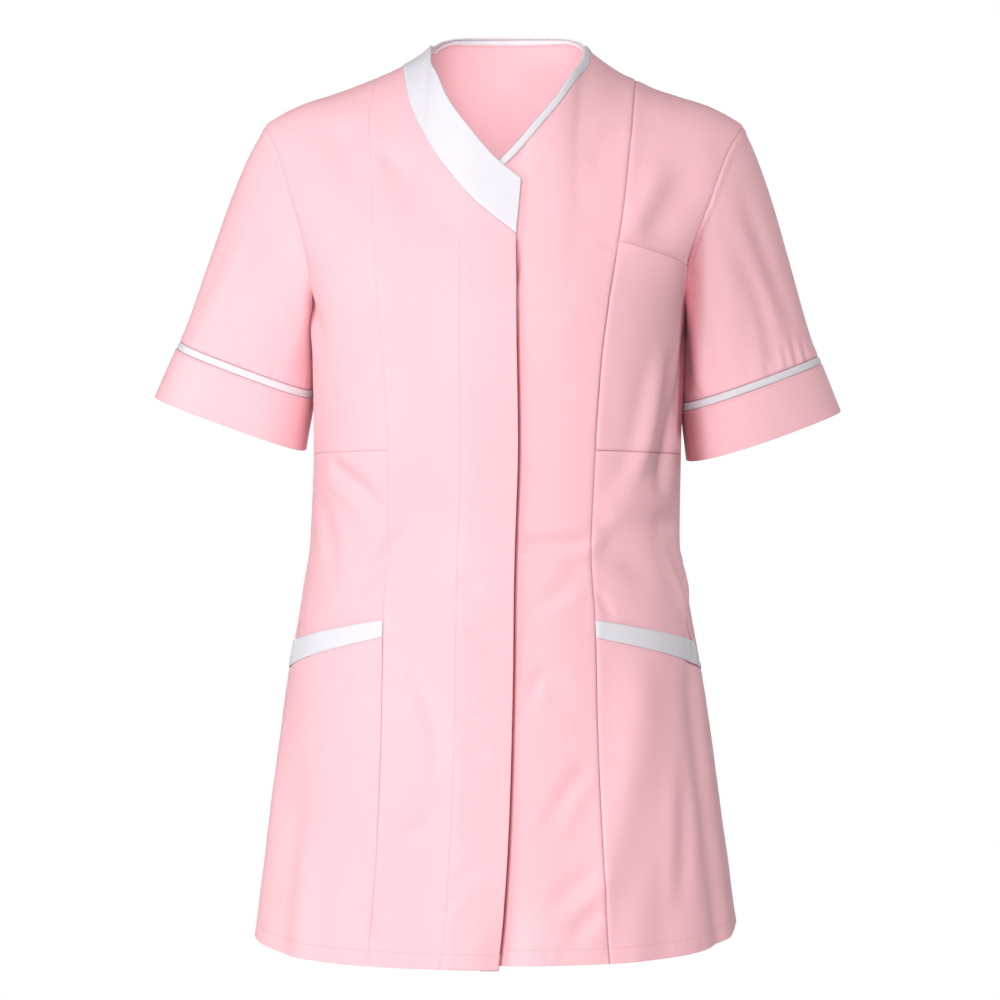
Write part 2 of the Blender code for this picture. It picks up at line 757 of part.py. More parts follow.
def main():
    """Clear the scene and make the tunic."""
    for old in list(bpy.data.objects):
        bpy.data.objects.remove(old)
    bpy.context.scene.collection.children.link(bpy.data.collections.new(COLLECTION))
    centre_fronts()
    for sign in (-1, 1):
        side_fronts(side_name(sign), sign)
    back()
    neck_trims()
    for sleeve in SLEEVES:
        sleeve_pieces(sleeve)


main()
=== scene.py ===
"""The looks of a short-sleeved medical tunic, filled out as it is worn, with nobody in it.

+X points to the wearer's left, -Y to the front and +Z up. Lengths are in millimetres and angles
in degrees where nothing else is said, and the meshes are in metres. A place on the body is named
by its turn, from the centre front (0) past the left side seam (90) to the centre back (180), and
by its level above the origin, which lies between the two points where the neckline crosses the
shoulders.
"""

import logging
import math
from dataclasses import dataclass, field
from enum import Enum
from typing import Callable, Sequence

import bmesh
import bpy
import numpy as np
from mathutils import Matrix, Vector, noise


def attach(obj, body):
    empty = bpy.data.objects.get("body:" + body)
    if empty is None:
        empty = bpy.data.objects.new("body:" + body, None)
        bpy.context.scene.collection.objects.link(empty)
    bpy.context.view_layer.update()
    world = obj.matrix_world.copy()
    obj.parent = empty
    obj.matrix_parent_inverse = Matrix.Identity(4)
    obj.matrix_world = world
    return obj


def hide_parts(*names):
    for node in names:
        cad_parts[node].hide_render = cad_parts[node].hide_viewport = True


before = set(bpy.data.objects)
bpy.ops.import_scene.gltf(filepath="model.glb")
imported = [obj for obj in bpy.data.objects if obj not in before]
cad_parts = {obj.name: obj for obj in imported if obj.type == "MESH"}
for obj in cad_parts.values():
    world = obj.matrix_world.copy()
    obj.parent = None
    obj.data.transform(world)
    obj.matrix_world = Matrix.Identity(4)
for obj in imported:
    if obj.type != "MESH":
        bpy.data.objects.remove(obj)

MM = 0.001
LOG = logging.getLogger("tunic")
Rows = tuple[tuple[float, ...], ...]
Pair = tuple[float, float]
Triple = tuple[float, float, float]
Array = np.ndarray
Line = tuple[Array, Array]
Piece = bpy.types.Object
# how long a degree of turn is, and how far in the close stations lie at an edge and at a hem
DEGREE_ARC = 2.6
FINE = (0.5, 1.1, 1.9, 3, 4.6)
HEM_ROWS = (0.25, 0.6, 1.2, 2.4, 4.5, 7, 9.5, 11.2, 12.2, 13.4, 15.5)


class Side(Enum):
    """The wearer's side."""

    RIGHT = -1
    LEFT = 1

    @property
    def word(self) -> str:
        """The side's name in a piece's name."""
        return self.name.lower()


class Edge(Enum):
    """An edge of a panel, seen from outside."""

    LEFT = 0
    RIGHT = 1
    LOW = 2
    HIGH = 3


# ---- measures ----


def unit(vectors: Array) -> Array:
    """The same vectors, each one long."""
    return vectors / np.maximum(np.linalg.norm(vectors, axis=-1, keepdims=True), 1e-12)


def soft_step(amount: Array | float) -> Array:
    """0 up to 0, 1 from 1 on, and a smooth rise between."""
    amount = np.clip(amount, 0, 1)
    return amount * amount * (3 - 2 * amount)


def hump(distance: Array, width: float, middle: float = 0.0) -> Array:
    """1 at the middle, dying away on both sides of it over a width."""
    return np.exp(-(((distance - middle) / width) ** 2))


@dataclass(frozen=True)
class Fade:
    """A smooth change that starts at one value and is whole so much further on.

    Attributes:
        start: where it starts.
        over: how much further on it is whole.
    """

    start: float
    over: float

    def up(self, value: Array) -> Array:
        """The change from 0 to 1."""
        return soft_step((value - self.start) / self.over)

    def down(self, value: Array) -> Array:
        """The change from 1 to 0."""
        return 1 - self.up(value)


class Curve:
    """A smooth function through the rows of a table, with no overshoot between them."""

    def __init__(self, rows: Rows, column: int = 1) -> None:
        """Fit one column of the rows against their first.

        Args:
            rows: the table.
            column: which of its columns to follow.
        """
        rows = sorted(rows, key=lambda row: row[0])
        self.at = np.array([row[0] for row in rows], float)
        self.value = np.array([row[column] for row in rows], float)
        self.step = np.diff(self.at)
        slope = np.diff(self.value) / self.step
        before, after = slope[:-1], slope[1:]
        same_way = before * after > 0
        middle = np.where(same_way, 2 * before * after / np.where(same_way, before + after, 1), 0)
        self.tangent = np.concatenate([slope[:1], middle, slope[-1:]])

    def __call__(self, place: Array | float) -> Array:
        """Read the curve, which is held level past the table's ends.

        Args:
            place: where to read it.

        Returns:
            The value there.
        """
        place = np.clip(place, self.at[0], self.at[-1])
        i = np.clip(np.searchsorted(self.at, place) - 1, 0, len(self.step) - 1)
        t = (place - self.at[i]) / self.step[i]
        rise = (self.value[i + 1] - self.value[i]) * t * t * (3 - 2 * t)
        bend = self.step[i] * t * (1 - t) * (self.tangent[i] * (1 - t) - self.tangent[i + 1] * t)
        return self.value[i] + rise + bend


def run_length(points: Array, axis: int) -> Array:
    """The distance run along a grid of points from its start.

    Args:
        points: the grid.
        axis: which way to run.

    Returns:
        The distance at each point, in the points' own unit.
    """
    steps = np.linalg.norm(np.diff(points, axis=axis), axis=-1)
    first = np.zeros_like(np.take(steps, [0], axis=axis))
    return np.concatenate([first, np.cumsum(steps, axis=axis)], axis=axis)


def resampled(line: Array, shares: Array, arc: float = 1.0) -> Array:
    """A line read again at other shares of its length.

    Args:
        line: points, or places.
        shares: from 0 to 1.
        arc: how long one unit of its first column is.

    Returns:
        One row for each share.
    """
    run = run_length(line * (arc, 1.0, 1.0)[: line.shape[-1]], 0)
    return np.stack([np.interp(shares * run[-1], run, column) for column in line.T], axis=-1)


def spaced(
    length: float, step: float, start: Sequence[float] = FINE, end: Sequence[float] = FINE
) -> Array:
    """Shares along a length: even steps, with closer stations near its two ends.

    Args:
        length: how long it is.
        step: the even step.
        start: distances of the stations near the start.
        end: the same, from the other end.

    Returns:
        Shares from 0 to 1.
    """
    first, last = start[-1], end[-1]
    middle = max(length - first - last, step)
    cells = max(round(middle / step), 1)
    even = first + middle * np.linspace(0, 1, cells + 1)
    total = first + middle + last
    stops = np.concatenate([[0], start, even[1:], total - np.array(end[-2::-1]), [total]])
    return np.unique(np.round(np.clip(stops / total, 0, 1), 7))


# ---- the form ----


@dataclass(frozen=True)
class Crease:
    """One soft trough (depth above 0) or ridge (below 0) along a path of places.

    Attributes:
        path: two to four places that it runs through.
        width: how far from its middle line it reaches.
        depth: how deep it is at its deepest.
        roll: how high the cloth stands up beside it, as a share of its depth.
        fades: the shares of its length over which each end dies away, or 0 where it runs out
            over an edge.
        side: the side of the path that stands up higher.
    """

    path: tuple[Pair, ...]
    width: float
    depth: float
    roll: float = 0.3
    fades: Pair = (0.4, 0.4)
    side: int = 1


def creased(*rows: tuple) -> tuple[Crease, ...]:
    """The creases of a table, whose rows hold the fields of each."""
    return tuple(Crease(*row) for row in rows)


class CreaseField:
    """Creases laid on a surface, read as a push at any of its points."""

    reach = 3.2
    stations = 15
    roll_at, roll_width = 1.75, 0.85
    far_roll = 0.35

    def __init__(
        self, creases: Sequence[Crease], surface: Callable[[Array], Array], gain: float = 1.0
    ) -> None:
        """Lay the creases.

        Args:
            creases: the creases.
            surface: turns places into points in metres.
            gain: how many times their tabled depth they have.
        """
        self.laid, self.gain = [], gain
        shares = np.linspace(0, 1, self.stations)
        for crease in creases:
            path = np.array(crease.path, float)
            at = np.linspace(0, 1, len(path))
            if len(path) > 2:
                bend = [Curve(tuple(zip(at, column)))(shares) for column in path.T]
                places = np.stack(bend, axis=-1)
            else:
                places = path[0] + (path[1] - path[0]) * shares[:, None]
            self.laid.append((crease, surface(places) / MM))

    def push(self, points: Array, normals: Array) -> Array:
        """How far out the creases move each point.

        Args:
            points: in metres.
            normals: the way out at each point.

        Returns:
            Millimetres, below 0 in a trough.
        """
        flat, out = points.reshape(-1, 3) / MM, normals.reshape(-1, 3)
        total = np.zeros(len(flat))
        for crease, line in self.laid:
            room = self.reach * crease.width
            near = np.all((flat > line.min(axis=0) - room) & (flat < line.max(axis=0) + room), axis=1)
            if not near.any():
                continue
            total[near] += self.gain * self._one(crease, line, flat[near], out[near])
        return total.reshape(points.shape[:-1])

    @staticmethod
    def _one(crease: Crease, line: Array, points: Array, out: Array) -> Array:
        """The push of one crease at the points that lie near it.

        Args:
            crease: the crease.
            line: the points of its path.
            points: the points near it.
            out: the way out at each.

        Returns:
            Millimetres at each point.
        """
        start, way = line[:-1], np.diff(line, axis=0)
        squared = np.maximum((way**2).sum(axis=1), 1e-9)
        offset = points[:, None] - start[None]
        t = np.clip((offset * way[None]).sum(axis=2) / squared, 0, 1)
        gap = offset - t[..., None] * way[None]
        nearest = (gap**2).sum(axis=2).argmin(axis=1)
        pick = np.arange(len(points))
        gap, share = gap[pick, nearest], (nearest + t[pick, nearest]) / len(way)
        side = np.sign((np.cross(unit(way[nearest]), out) * gap).sum(axis=1)) * crease.side
        aside = np.linalg.norm(gap, axis=1) / crease.width
        first, last = (max(fade, 1e-6) for fade in crease.fades)
        strength = soft_step(share / first) * soft_step((1 - share) / last)
        beside = hump(aside, CreaseField.roll_width, CreaseField.roll_at)
        rolls = crease.roll * beside * np.where(side > 0, 1, CreaseField.far_roll)
        return crease.depth * strength * (rolls - hump(aside, 1))


BODY_CREASES = creased(
    # the right front, from the shoulder down
    (((-38, -58), (-33, -104), (-30, -176)), 13, 1.9, 0.35, (0.3, 0.5), -1),
    (((-27, -84), (-17, -122), (-3, -168)), 17, 1.5, 0.2, (0.3, 0.3)),
    (((-30, -72), (-22, -100), (-14, -112)), 7, 0.5),
    (((-82, -203), (-68, -232), (-56, -262)), 11, 1.5, 0.4, (0.1, 0.6)),
    (((-60, -338), (-40, -361), (-28, -386)), 7.5, 2.2, 0.5, (0.15, 0.5)),
    (((-20, -384), (-30, -414), (-46, -450)), 8, 2.0, 0.4, (0.3, 0.4), -1),
    (((-70, -360), (-58, -395), (-52, -440)), 9, 1.0),
    (((-24, -476), (-15, -525), (-11, -560), (-10, -616)), 8, 1.1, 0.5),
    (((-10, -612), (-16, -627), (-25, -638)), 8, 1.1, 0.4),
    (((-38, -497), (-41, -511), (-43, -528)), 6, 0.7),
    (((-47, -569), (-38, -575), (-28, -582)), 9, 0.8),
    (((-9, -428), (-4, -436), (0, -438)), 7, 1.2),
    (((-6, -470), (-2, -474), (2, -476)), 6, 0.9, 0.6),
    (((-8, -530), (-4, -538), (1, -540)), 6, 1.0, 0.6),
    (((-7, -560), (-3, -566), (1, -572)), 7, 0.9, 0.5),
    (((-9, -668), (-4, -660), (1, -655)), 6, 0.9, 0.6),
    (((-20, -655), (-24, -690), (-22, -712)), 7, 0.8, 0.5),
    (((-27, -696), (-23, -707), (-19, -720)), 6, 1.0, 0.6),
    (((-13, -702), (-8, -686), (-4, -670)), 4, 0.8, 0.9),
    (((-8, -711), (-4, -710), (0, -706)), 6, 0.6),
    (((1, -750), (3, -702), (4, -640)), 18, 2.6, 0.1, (0, 0.7)),
    (((2, -755), (3, -720), (4, -668)), 9, 1.4, 0.0, (0, 0.7)),
    (((-62, -560), (-58, -640), (-57, -735)), 15, 1.6, 0.3, (0.5, 0)),
    (((-47, -600), (-43, -670), (-42, -735)), 13, 1.2, 0.5, (0.6, 0)),
    (((-78, -500), (-76, -610), (-75, -735)), 15, -1.8, 0.2, (0.5, 0)),
    # the left front
    (((38, -92), (35, -138), (32, -172)), 10, -1.6, 0.1),
    (((51, -92), (44, -136), (39, -172)), 15, 2.2, 0.2),
    (((25, -70), (20, -95), (22, -128)), 9, 0.5),
    (((20, -162), (25, -166), (29, -168)), 4, 0.3, 0.5, (0.5, 0.1)),
    (((61, -236), (56, -274), (50, -326), (39, -378)), 9, -2.6, 0.2, (0.5, 0.3)),
    (((73, -250), (65, -325), (56, -374)), 10, 2.6, 0.2, (0.5, 0.3)),
    (((70, -386), (77, -430), (80, -476)), 14, -2.2, 0.1),
    (((84, -216), (78, -262), (74, -322)), 9, 2.2),
    (((30, -386), (50, -366), (84, -346)), 15, -1.6, 0.1, (0.2, 0.4)),
    (((31, -396), (44, -416), (60, -446)), 15, 2.0, 0.1, (0.25, 0.5)),
    (((5, -403), (17, -404), (31, -399)), 6, 1.5, 0.7, (0.15, 0.2)),
    (((54, -392), (66, -386), (84, -392)), 10, 1.6),
    (((6, -459), (17, -443), (27, -422)), 7, 0.7, 0.6),
    (((7, -534), (10, -517), (13, -506), (21, -506)), 6, 1.0, 0.4),
    (((9, -645), (15, -610), (19, -590), (25, -577)), 7, 1.0, 0.5, (0.5, 0.2)),
    (((10, -691), (18, -672), (27, -650)), 8, 1.1, 0.4, (0.5, 0.2)),
    (((16, -717), (21, -697), (26, -684)), 7, 1.1, 0.5, (0.4, 0.3)),
    (((30, -438), (33, -453), (36, -466)), 4, 0.8),
    (((46, -478), (38.5, -563), (29, -640), (22, -706)), 17, -2.2, 0.1, (0.2, 0.2)),
    (((59, -560), (54, -638), (49, -712)), 8, 1.2, 0.6),
    (((69, -486), (67, -577), (67, -735)), 11, 2.1, 0.3, (0.2, 0), -1),
    (((48, -640), (44, -690), (42, -735)), 15, 1.6, 0.3, (0.6, 0)),
    (((66, -402), (76, -433), (83, -482)), 6, 1.4, 0.5),
    (((88, -400), (84, -450), (83, -478)), 4, 1.0, 0.8),
    # the back
    (((116, -142), (126, -190), (140, -236)), 15, 2.0),
    (((-116, -138), (-128, -185), (-142, -238)), 15, 2.1),
    (((98, -214), (110, -250), (124, -280)), 10, 1.6, 0.4, (0.1, 0.6)),
    (((-97, -212), (-108, -244), (-120, -288)), 10, 1.5, 0.4, (0.1, 0.6)),
    (((104, -322), (122, -366), (146, -404)), 9, 1.8, 0.5),
    (((100, -372), (124, -402), (152, -418)), 7, 1.3, 0.5),
    (((-103, -332), (-122, -380), (-144, -428)), 9, 1.7, 0.5),
    (((-101, -392), (-126, -412), (-150, -436)), 7, 1.2, 0.5),
    (((146, -412), (166, -424), (190, -418)), 8, 1.5, 0.6),
    (((150, -446), (172, -456), (198, -446)), 7, 0.9, 0.6),
    (((168, -92), (172, -160), (169, -232)), 13, 0.9),
    (((192, -120), (188, -190), (191, -262)), 12, 0.8),
    (((128, -470), (125, -600), (124, -735)), 20, 3.0, 0.4, (0.6, 0)),
    (((176, -440), (180, -600), (182, -735)), 22, 2.8, 0.4, (0.6, 0)),
    (((-130, -480), (-127, -610), (-126, -735)), 20, 2.8, 0.4, (0.6, 0)),
    (((150, -540), (153, -640), (154, -735)), 15, -1.8, 0.2, (0.7, 0)),
    (((-155, -520), (-153, -630), (-152, -735)), 16, -1.7, 0.2, (0.7, 0)),
    (((106, -560), (104, -650), (104, -735)), 13, 1.4, 0.5, (0.6, 0)),
    (((-108, -590), (-105, -660), (-105, -735)), 13, 1.5, 0.5, (0.6, 0)),
    (((140, -640), (132, -680), (122, -700)), 7, 1.1, 0.5),
    (((-170, -600), (-160, -650), (-146, -676)), 7, 1.0, 0.5),
)


@dataclass
class Form:
    """The hollow form that the body's cloth lies on.

    Attributes:
        sections: level, centre, half width, depth to the front and back, squareness of the oval.
        shoulder: how far out, and the level of the shoulder ridge there.
        lean: how far out, and how much higher the cloth sits on the shoulder there.
        leaning: the levels between which the lean comes in.
        bust_level: the level below which the form is a plain tube.
        roundness: how quickly it closes towards the ridge.
        creases: the creases in its cloth.
        gain: how many times their tabled depth they have.
        wave: the height of the slow unevenness of worn cloth, and of the finer one.
    """

    sections: Rows = (
        (60, 0.0, 226, 112, 106, 2.3),
        (0, 0.0, 224, 116, 110, 2.3),
        (-64, -4.0, 212, 119, 114, 2.3),
        (-90, -4.5, 203, 121, 116, 2.35),
        (-125, -5.0, 190, 123, 117, 2.4),
        (-160, -6.0, 174, 125, 117, 2.4),
        (-190, -7.0, 160, 127, 116, 2.4),
        (-215, -8.0, 152.5, 128, 114, 2.4),
        (-250, -8.5, 150.5, 128, 110, 2.4),
        (-330, -9.0, 149, 120, 102, 2.35),
        (-400, -11.0, 150, 113, 98, 2.3),
        (-440, -11.5, 155.5, 113, 102, 2.25),
        (-500, -11.0, 166, 118, 113, 2.2),
        (-600, -10.5, 179.5, 127, 126, 2.2),
        (-735, -10.5, 197, 139, 138, 2.2),
    )
    shoulder: Rows = (
        (0, 58), (25, 50), (45, 32), (56, 14), (62.5, 0), (74, -10.5), (98, -25.5), (138, -39),
        (162, -46), (178, -53), (194, -64), (214, -84),
    )
    lean: Rows = (
        (-170, 0), (-140, 1.2), (-100, 3.2), (-72, 0.8), (-58, 0), (100, 0), (120, -2.4),
        (140, -3.2), (175, -3.8), (194, -2.2),
    )
    leaning: Fade = Fade(-200, 140)
    bust_level: float = -250.0
    roundness: float = 1.4
    creases: tuple[Crease, ...] = BODY_CREASES
    gain: float = 1.7
    wave: Pair = (1.1, 0.35)

    def __post_init__(self) -> None:
        """Fit the curves and lay the creases."""
        columns = [Curve(self.sections, k) for k in range(1, 6)]
        self.centre_at, self.half_at, self.front_at, self.back_at, self.square_at = columns
        self.ridge_at, self.lean_at = Curve(self.shoulder), Curve(self.lean)
        self.field = CreaseField(self.creases, self.skin, self.gain)

    def turn_of(self, out: Array, level: Array) -> Array:
        """The turn on the front where the form is this far out from its centre."""
        share = np.clip(np.abs(out) / self.half_at(level), 0, 1)
        return np.sign(out) * np.degrees(np.arcsin(share ** (self.square_at(level) / 2)))

    def skin(self, places: Array) -> Array:
        """The points of the smooth form at these places.

        Args:
            places: turn and level in the last axis.

        Returns:
            Points in metres.
        """
        turn, level = places[..., 0], places[..., 1]
        angle = np.radians(turn)
        power = 2 / self.square_at(level)
        side = np.sign(np.sin(angle)) * np.abs(np.sin(angle)) ** power
        ahead = np.sign(np.cos(angle)) * np.abs(np.cos(angle)) ** power
        out = self.half_at(level) * side
        ridge = self.ridge_at(np.abs(out))
        rise = np.clip((ridge - level) / (ridge - self.bust_level), 0, 1)
        closing = np.sqrt(1 - (1 - rise) ** self.roundness)
        depth = np.where(ahead > 0, self.front_at(level), self.back_at(level))
        lifted = level + self.lean_at(out) * self.leaning.up(level)
        return np.stack([self.centre_at(level) + out, -depth * ahead * closing, lifted], axis=-1) * MM

    def places(self, outs: Array, levels: Array, back: bool = False) -> Array:
        """Places given by how far out they are in the front view.

        Args:
            outs: millimetres from the centre, left above 0.
            levels: their levels.
            back: whether they lie on the back.

        Returns:
            Turn and level in the last axis.
        """
        turns = self.turn_of(np.asarray(outs, float), levels)
        return np.stack([180 - turns if back else turns, levels], axis=-1)

    def unevenness(self, points: Array) -> Array:
        """The slow waves of cloth that isn't quite flat."""
        return uneven(points, self.wave)


def uneven(points: Array, heights: Pair, seed: float = 0.0) -> Array:
    """Slow upright waves, and finer ones over them.

    Args:
        points: in metres.
        heights: of the slow waves and of the finer ones.
        seed: shifts the pattern.

    Returns:
        Millimetres at each point.
    """
    slow, fine = np.array((13, 13, 5.5)), np.array((46, 46, 27))
    shift = Vector((seed, 3.7, 1.9))
    total = []
    for point in points.reshape(-1, 3):
        first = noise.noise(Vector(point * slow) + shift)
        second = noise.noise(Vector(point * fine) - shift)
        total.append(heights[0] * first + heights[1] * second)
    return np.array(total).reshape(points.shape[:-1])


FORM = Form()


# ---- the seams of the pattern ----


@dataclass
class Pattern:
    """Where the tunic's seams and edges run, in the front view.

    Attributes:
        neckline_at: level, and how far out the front neckline is.
        back_neck_at: how far out, and the level of the back neckline.
        band_edge_at: level, and how far out the neck band's outer edge is.
        opening_at: level, and how far the right front's edge lies past the centre.
        princess_at: level, and how far out the seam of the side front is.
        armhole_at: level, and how far out the armhole is.
        side_seam: level, and the degrees that the right and left side seams are pulled forward.
        hem: degrees from the centre, and the hem's level on the right front, left front and back.
        lines: the seams that cross the side front, as levels at the princess seam and the side.
        underarm: the level of the armhole's foot.
        shoulder_tip: how far out the armhole meets the shoulder seam.
        princess_shoulder: how far out the princess seam meets it.
        neck_shoulder: how far out the neckline meets it.
        band_lowest: the level where the neck band's inner edge starts.
        binding_lowest: the level where the binding starts.
        lowest: the form's lowest level.
        lap: how far the right front lies over the left.
        narrowing: how much narrower a band or binding is at the shoulder.
        reach: from the shoulder seam to where it has its whole width.
        stations: the points of each line.
        straight: the points of a line that runs straight between two places.
    """

    neckline_at: Curve = Curve((
        (0, 62.5), (-16, 60.5), (-29, 53.5), (-48.5, 43), (-69, 28), (-99, 3), (-115, -16),
        (-122, -26),
    ))
    back_neck_at: Curve = Curve(((0, 13.6), (20, 13.2), (40, 11.5), (55, 7), (62.5, 0)))
    band_edge_at: Curve = Curve((
        (-17.8, 85.5), (-49, 75), (-80, 59.5), (-110, 38.5), (-134, 17.5), (-161, -16.5),
    ))
    opening_at: Curve = Curve((
        (-107, 18.5), (-160, 16.5), (-215, 19), (-330, 21), (-480, 19.5), (-620, 16), (-690, 12),
        (-735, 7.5),
    ))
    princess_at: Curve = Curve((
        (-29.5, 105), (-60, 105.2), (-88, 103.4), (-125, 100.6), (-160, 97.2), (-212, 91.2),
        (-267, 85.2), (-330, 81.2), (-407, 80), (-463, 83.5), (-547, 85), (-648, 88.5),
        (-735, 94.5),
    ))
    armhole_at: Curve = Curve((
        (-64, 194), (-90, 180.5), (-125, 169.5), (-160, 157.5), (-190, 151.3), (-205, 150.8),
        (-215, 152.5),
    ))
    side_seam: Rows = (
        (-215, 0, 0), (-290, 4, 2), (-350, 10, 5), (-410, 15, 9), (-441, 13, 13), (-466, 11, 14),
        (-490, 9, 9), (-530, 5, 3), (-600, 0, 0), (-735, 0, 0),
    )
    hem: Rows = (
        (0, -733.8, -730.5, -731), (28, -732.4, -729.6, -730), (48, -730.4, -727, -727.5),
        (66, -725.5, -722, -723), (78, -719.5, -717.5, -718), (90, -711.5, -711.5, -711.5),
    )
    lines: dict[str, Pair] = field(
        default_factory=lambda: {
            "pocket_bottom": (-640, -640), "band_bottom": (-477, -505), "band_top": (-463, -483),
            "under_bust": (-330, -332), "pocket_mouth": (-165.5, -183),
        }
    )
    underarm: float = -215.0
    shoulder_tip: float = 194.0
    princess_shoulder: float = 105.0
    neck_shoulder: float = 62.5
    band_lowest: float = -117.0
    binding_lowest: float = -111.0
    lowest: float = -735.0
    lap: float = 30.0
    narrowing: float = 0.26
    reach: float = 30.0
    stations: int = 160
    straight: int = 60

    def __post_init__(self) -> None:
        """Fit the curves."""
        self.pull_at = {Side.RIGHT: Curve(self.side_seam, 1), Side.LEFT: Curve(self.side_seam, 2)}
        panels = ("right", "left", "back")
        self.hem_at = {panel: Curve(self.hem, column) for column, panel in enumerate(panels, 1)}

    def hem_level(self, turn: Array, panel: str) -> Array:
        """The hem's level at a turn on the right front, the left front or the back."""
        from_centre = np.degrees(np.arcsin(np.abs(np.sin(np.radians(turn)))))
        return self.hem_at[panel](from_centre)

    def hem_between(self, start: Array, end: Array, panel: str) -> Array:
        """The hem from one place to another, as places."""
        turns = np.linspace(start[0], end[0], self.stations)
        return np.stack([turns, self.hem_level(turns, panel)], axis=-1)

    def seam(self, side: Side, low: float | None = None, high: float | None = None) -> Array:
        """The princess seam.

        Args:
            side: the wearer's side.
            low: the level where it starts, or None for the hem.
            high: the level where it ends, or None for the shoulder.

        Returns:
            Its places.
        """
        sign = side.value
        if low is None:
            low = self.hem_level(FORM.turn_of(self.princess_at(self.lowest), self.lowest), side.word)
        high = FORM.ridge_at(self.princess_shoulder) if high is None else high
        levels = np.linspace(low, high, self.stations)
        return FORM.places(sign * self.princess_at(levels), levels)

    def side(self, side: Side, low: float | None = None, high: float | None = None) -> Array:
        """The side seam.

        Args:
            side: the wearer's side.
            low: the level where it starts, or None for the hem.
            high: the level where it ends, or None for the underarm.

        Returns:
            Its places.
        """
        low = self.hem_level(90.0, side.word) if low is None else low
        levels = np.linspace(low, self.underarm if high is None else high, self.stations)
        return np.stack([side.value * (90 - self.pull_at[side](levels)), levels], axis=-1)

    def armhole_edge(self, side: Side, back: bool = False, high: float | None = None) -> Array:
        """The armhole, from the underarm up.

        Args:
            side: the wearer's side.
            back: whether to run up the back.
            high: the level where it ends, or None for the shoulder's tip.

        Returns:
            Its places.
        """
        sign = side.value
        high = FORM.ridge_at(self.shoulder_tip) if high is None else high
        levels = self.underarm + (high - self.underarm) * (1 - np.linspace(1, 0, self.stations) ** 1.6)
        edge = FORM.places(sign * self.armhole_at(levels), levels, back)
        edge[0, 0] = 90 * sign
        if back and sign < 0:
            edge[0, 0] += 360
        return edge

    def ridge(self, start: float, end: float, back: bool = False) -> Array:
        """The shoulder seam between two distances out from the centre."""
        outs = np.linspace(start, end, self.stations)
        return FORM.places(outs, FORM.ridge_at(np.abs(outs)), back)

    def beside(self, outs: Array, levels: Array, out_by: Array, level_by: Array) -> Line:
        """A line beside another, which keeps its depth below the shoulder ridge.

        Args:
            outs: how far out the other runs.
            levels: its levels.
            out_by: how much further out the new line runs.
            level_by: how much higher it runs.

        Returns:
            The new line's distances out and levels.
        """
        near = 1 - soft_step((FORM.ridge_at(np.abs(outs)) - levels) / self.reach)
        new_outs = outs + out_by * (1 - self.narrowing * near)
        on_ridge = FORM.ridge_at(np.abs(new_outs)) - FORM.ridge_at(np.abs(outs))
        return new_outs, levels + on_ridge * near + level_by * (1 - near)

    def neck(self, lowest: float, aside: float = 0.0) -> Line:
        """How far out and how high the front neckline runs, up to the shoulder.

        Args:
            lowest: the level where it starts.
            aside: how far outside the neckline the line runs.

        Returns:
            The distances out and the levels.
        """
        levels = lowest * np.linspace(1, 0, self.stations) ** 2
        outs = self.neckline_at(levels)
        run = unit(np.stack([np.gradient(outs), np.gradient(levels)], axis=-1))
        return self.beside(outs, levels, run[:, 1] * aside, -run[:, 0] * aside)

    def band(self) -> Line:
        """How far out and how high the neck band's outer edge runs, up to the shoulder.

        Returns:
            The distances out and the levels.
        """
        end, top = self.band_edge_at.at[[0, -1]]
        levels = end + (top - end) * (1 - np.linspace(1, 0, self.stations) ** 2)
        outs = self.band_edge_at(levels)
        return outs, np.minimum(levels, FORM.ridge_at(np.abs(outs)))

    def nape(self, aside: float = 0.0) -> Array:
        """The back neckline from the wearer's left to right, or a line below it.

        Args:
            aside: how far outside the neckline the line runs.

        Returns:
            Its places.
        """
        angles = np.linspace(math.pi / 2, -math.pi / 2, self.stations)
        outs = self.neck_shoulder * np.sin(angles)
        levels = self.back_neck_at(np.abs(outs))
        outs, levels = self.beside(outs, levels, aside * np.sin(angles), -aside * np.cos(angles))
        return FORM.places(outs, levels, back=True)


PATTERN = Pattern()


# ---- finishes ----


class Signal:
    """An output of a shader node, which takes plain arithmetic."""

    def __init__(self, nodes: "Nodes", socket: bpy.types.NodeSocket) -> None:
        """Take up an output of one of the nodes."""
        self.nodes, self.socket = nodes, socket

    def __getitem__(self, name: str) -> "Signal":
        """Another output of the same node."""
        return Signal(self.nodes, self.socket.node.outputs[name])

    def __add__(self, other: "Signal | float") -> "Signal":
        """The sum."""
        return self.nodes.maths("ADD", self, other)

    def __sub__(self, other: "Signal | float") -> "Signal":
        """The difference."""
        return self.nodes.maths("SUBTRACT", self, other)

    def __rsub__(self, other: float) -> "Signal":
        """The difference from a number."""
        return self.nodes.maths("SUBTRACT", other, self)

    def __mul__(self, other: "Signal | float") -> "Signal":
        """The product."""
        return self.nodes.maths("MULTIPLY", self, other)

    def __truediv__(self, other: "Signal | float") -> "Signal":
        """The quotient."""
        return self.nodes.maths("DIVIDE", self, other)

    def between(self, low: "Signal | float", high: float) -> "Signal":
        """The same, held between two limits."""
        return self.nodes.maths("MINIMUM", self.nodes.maths("MAXIMUM", self, low), high)


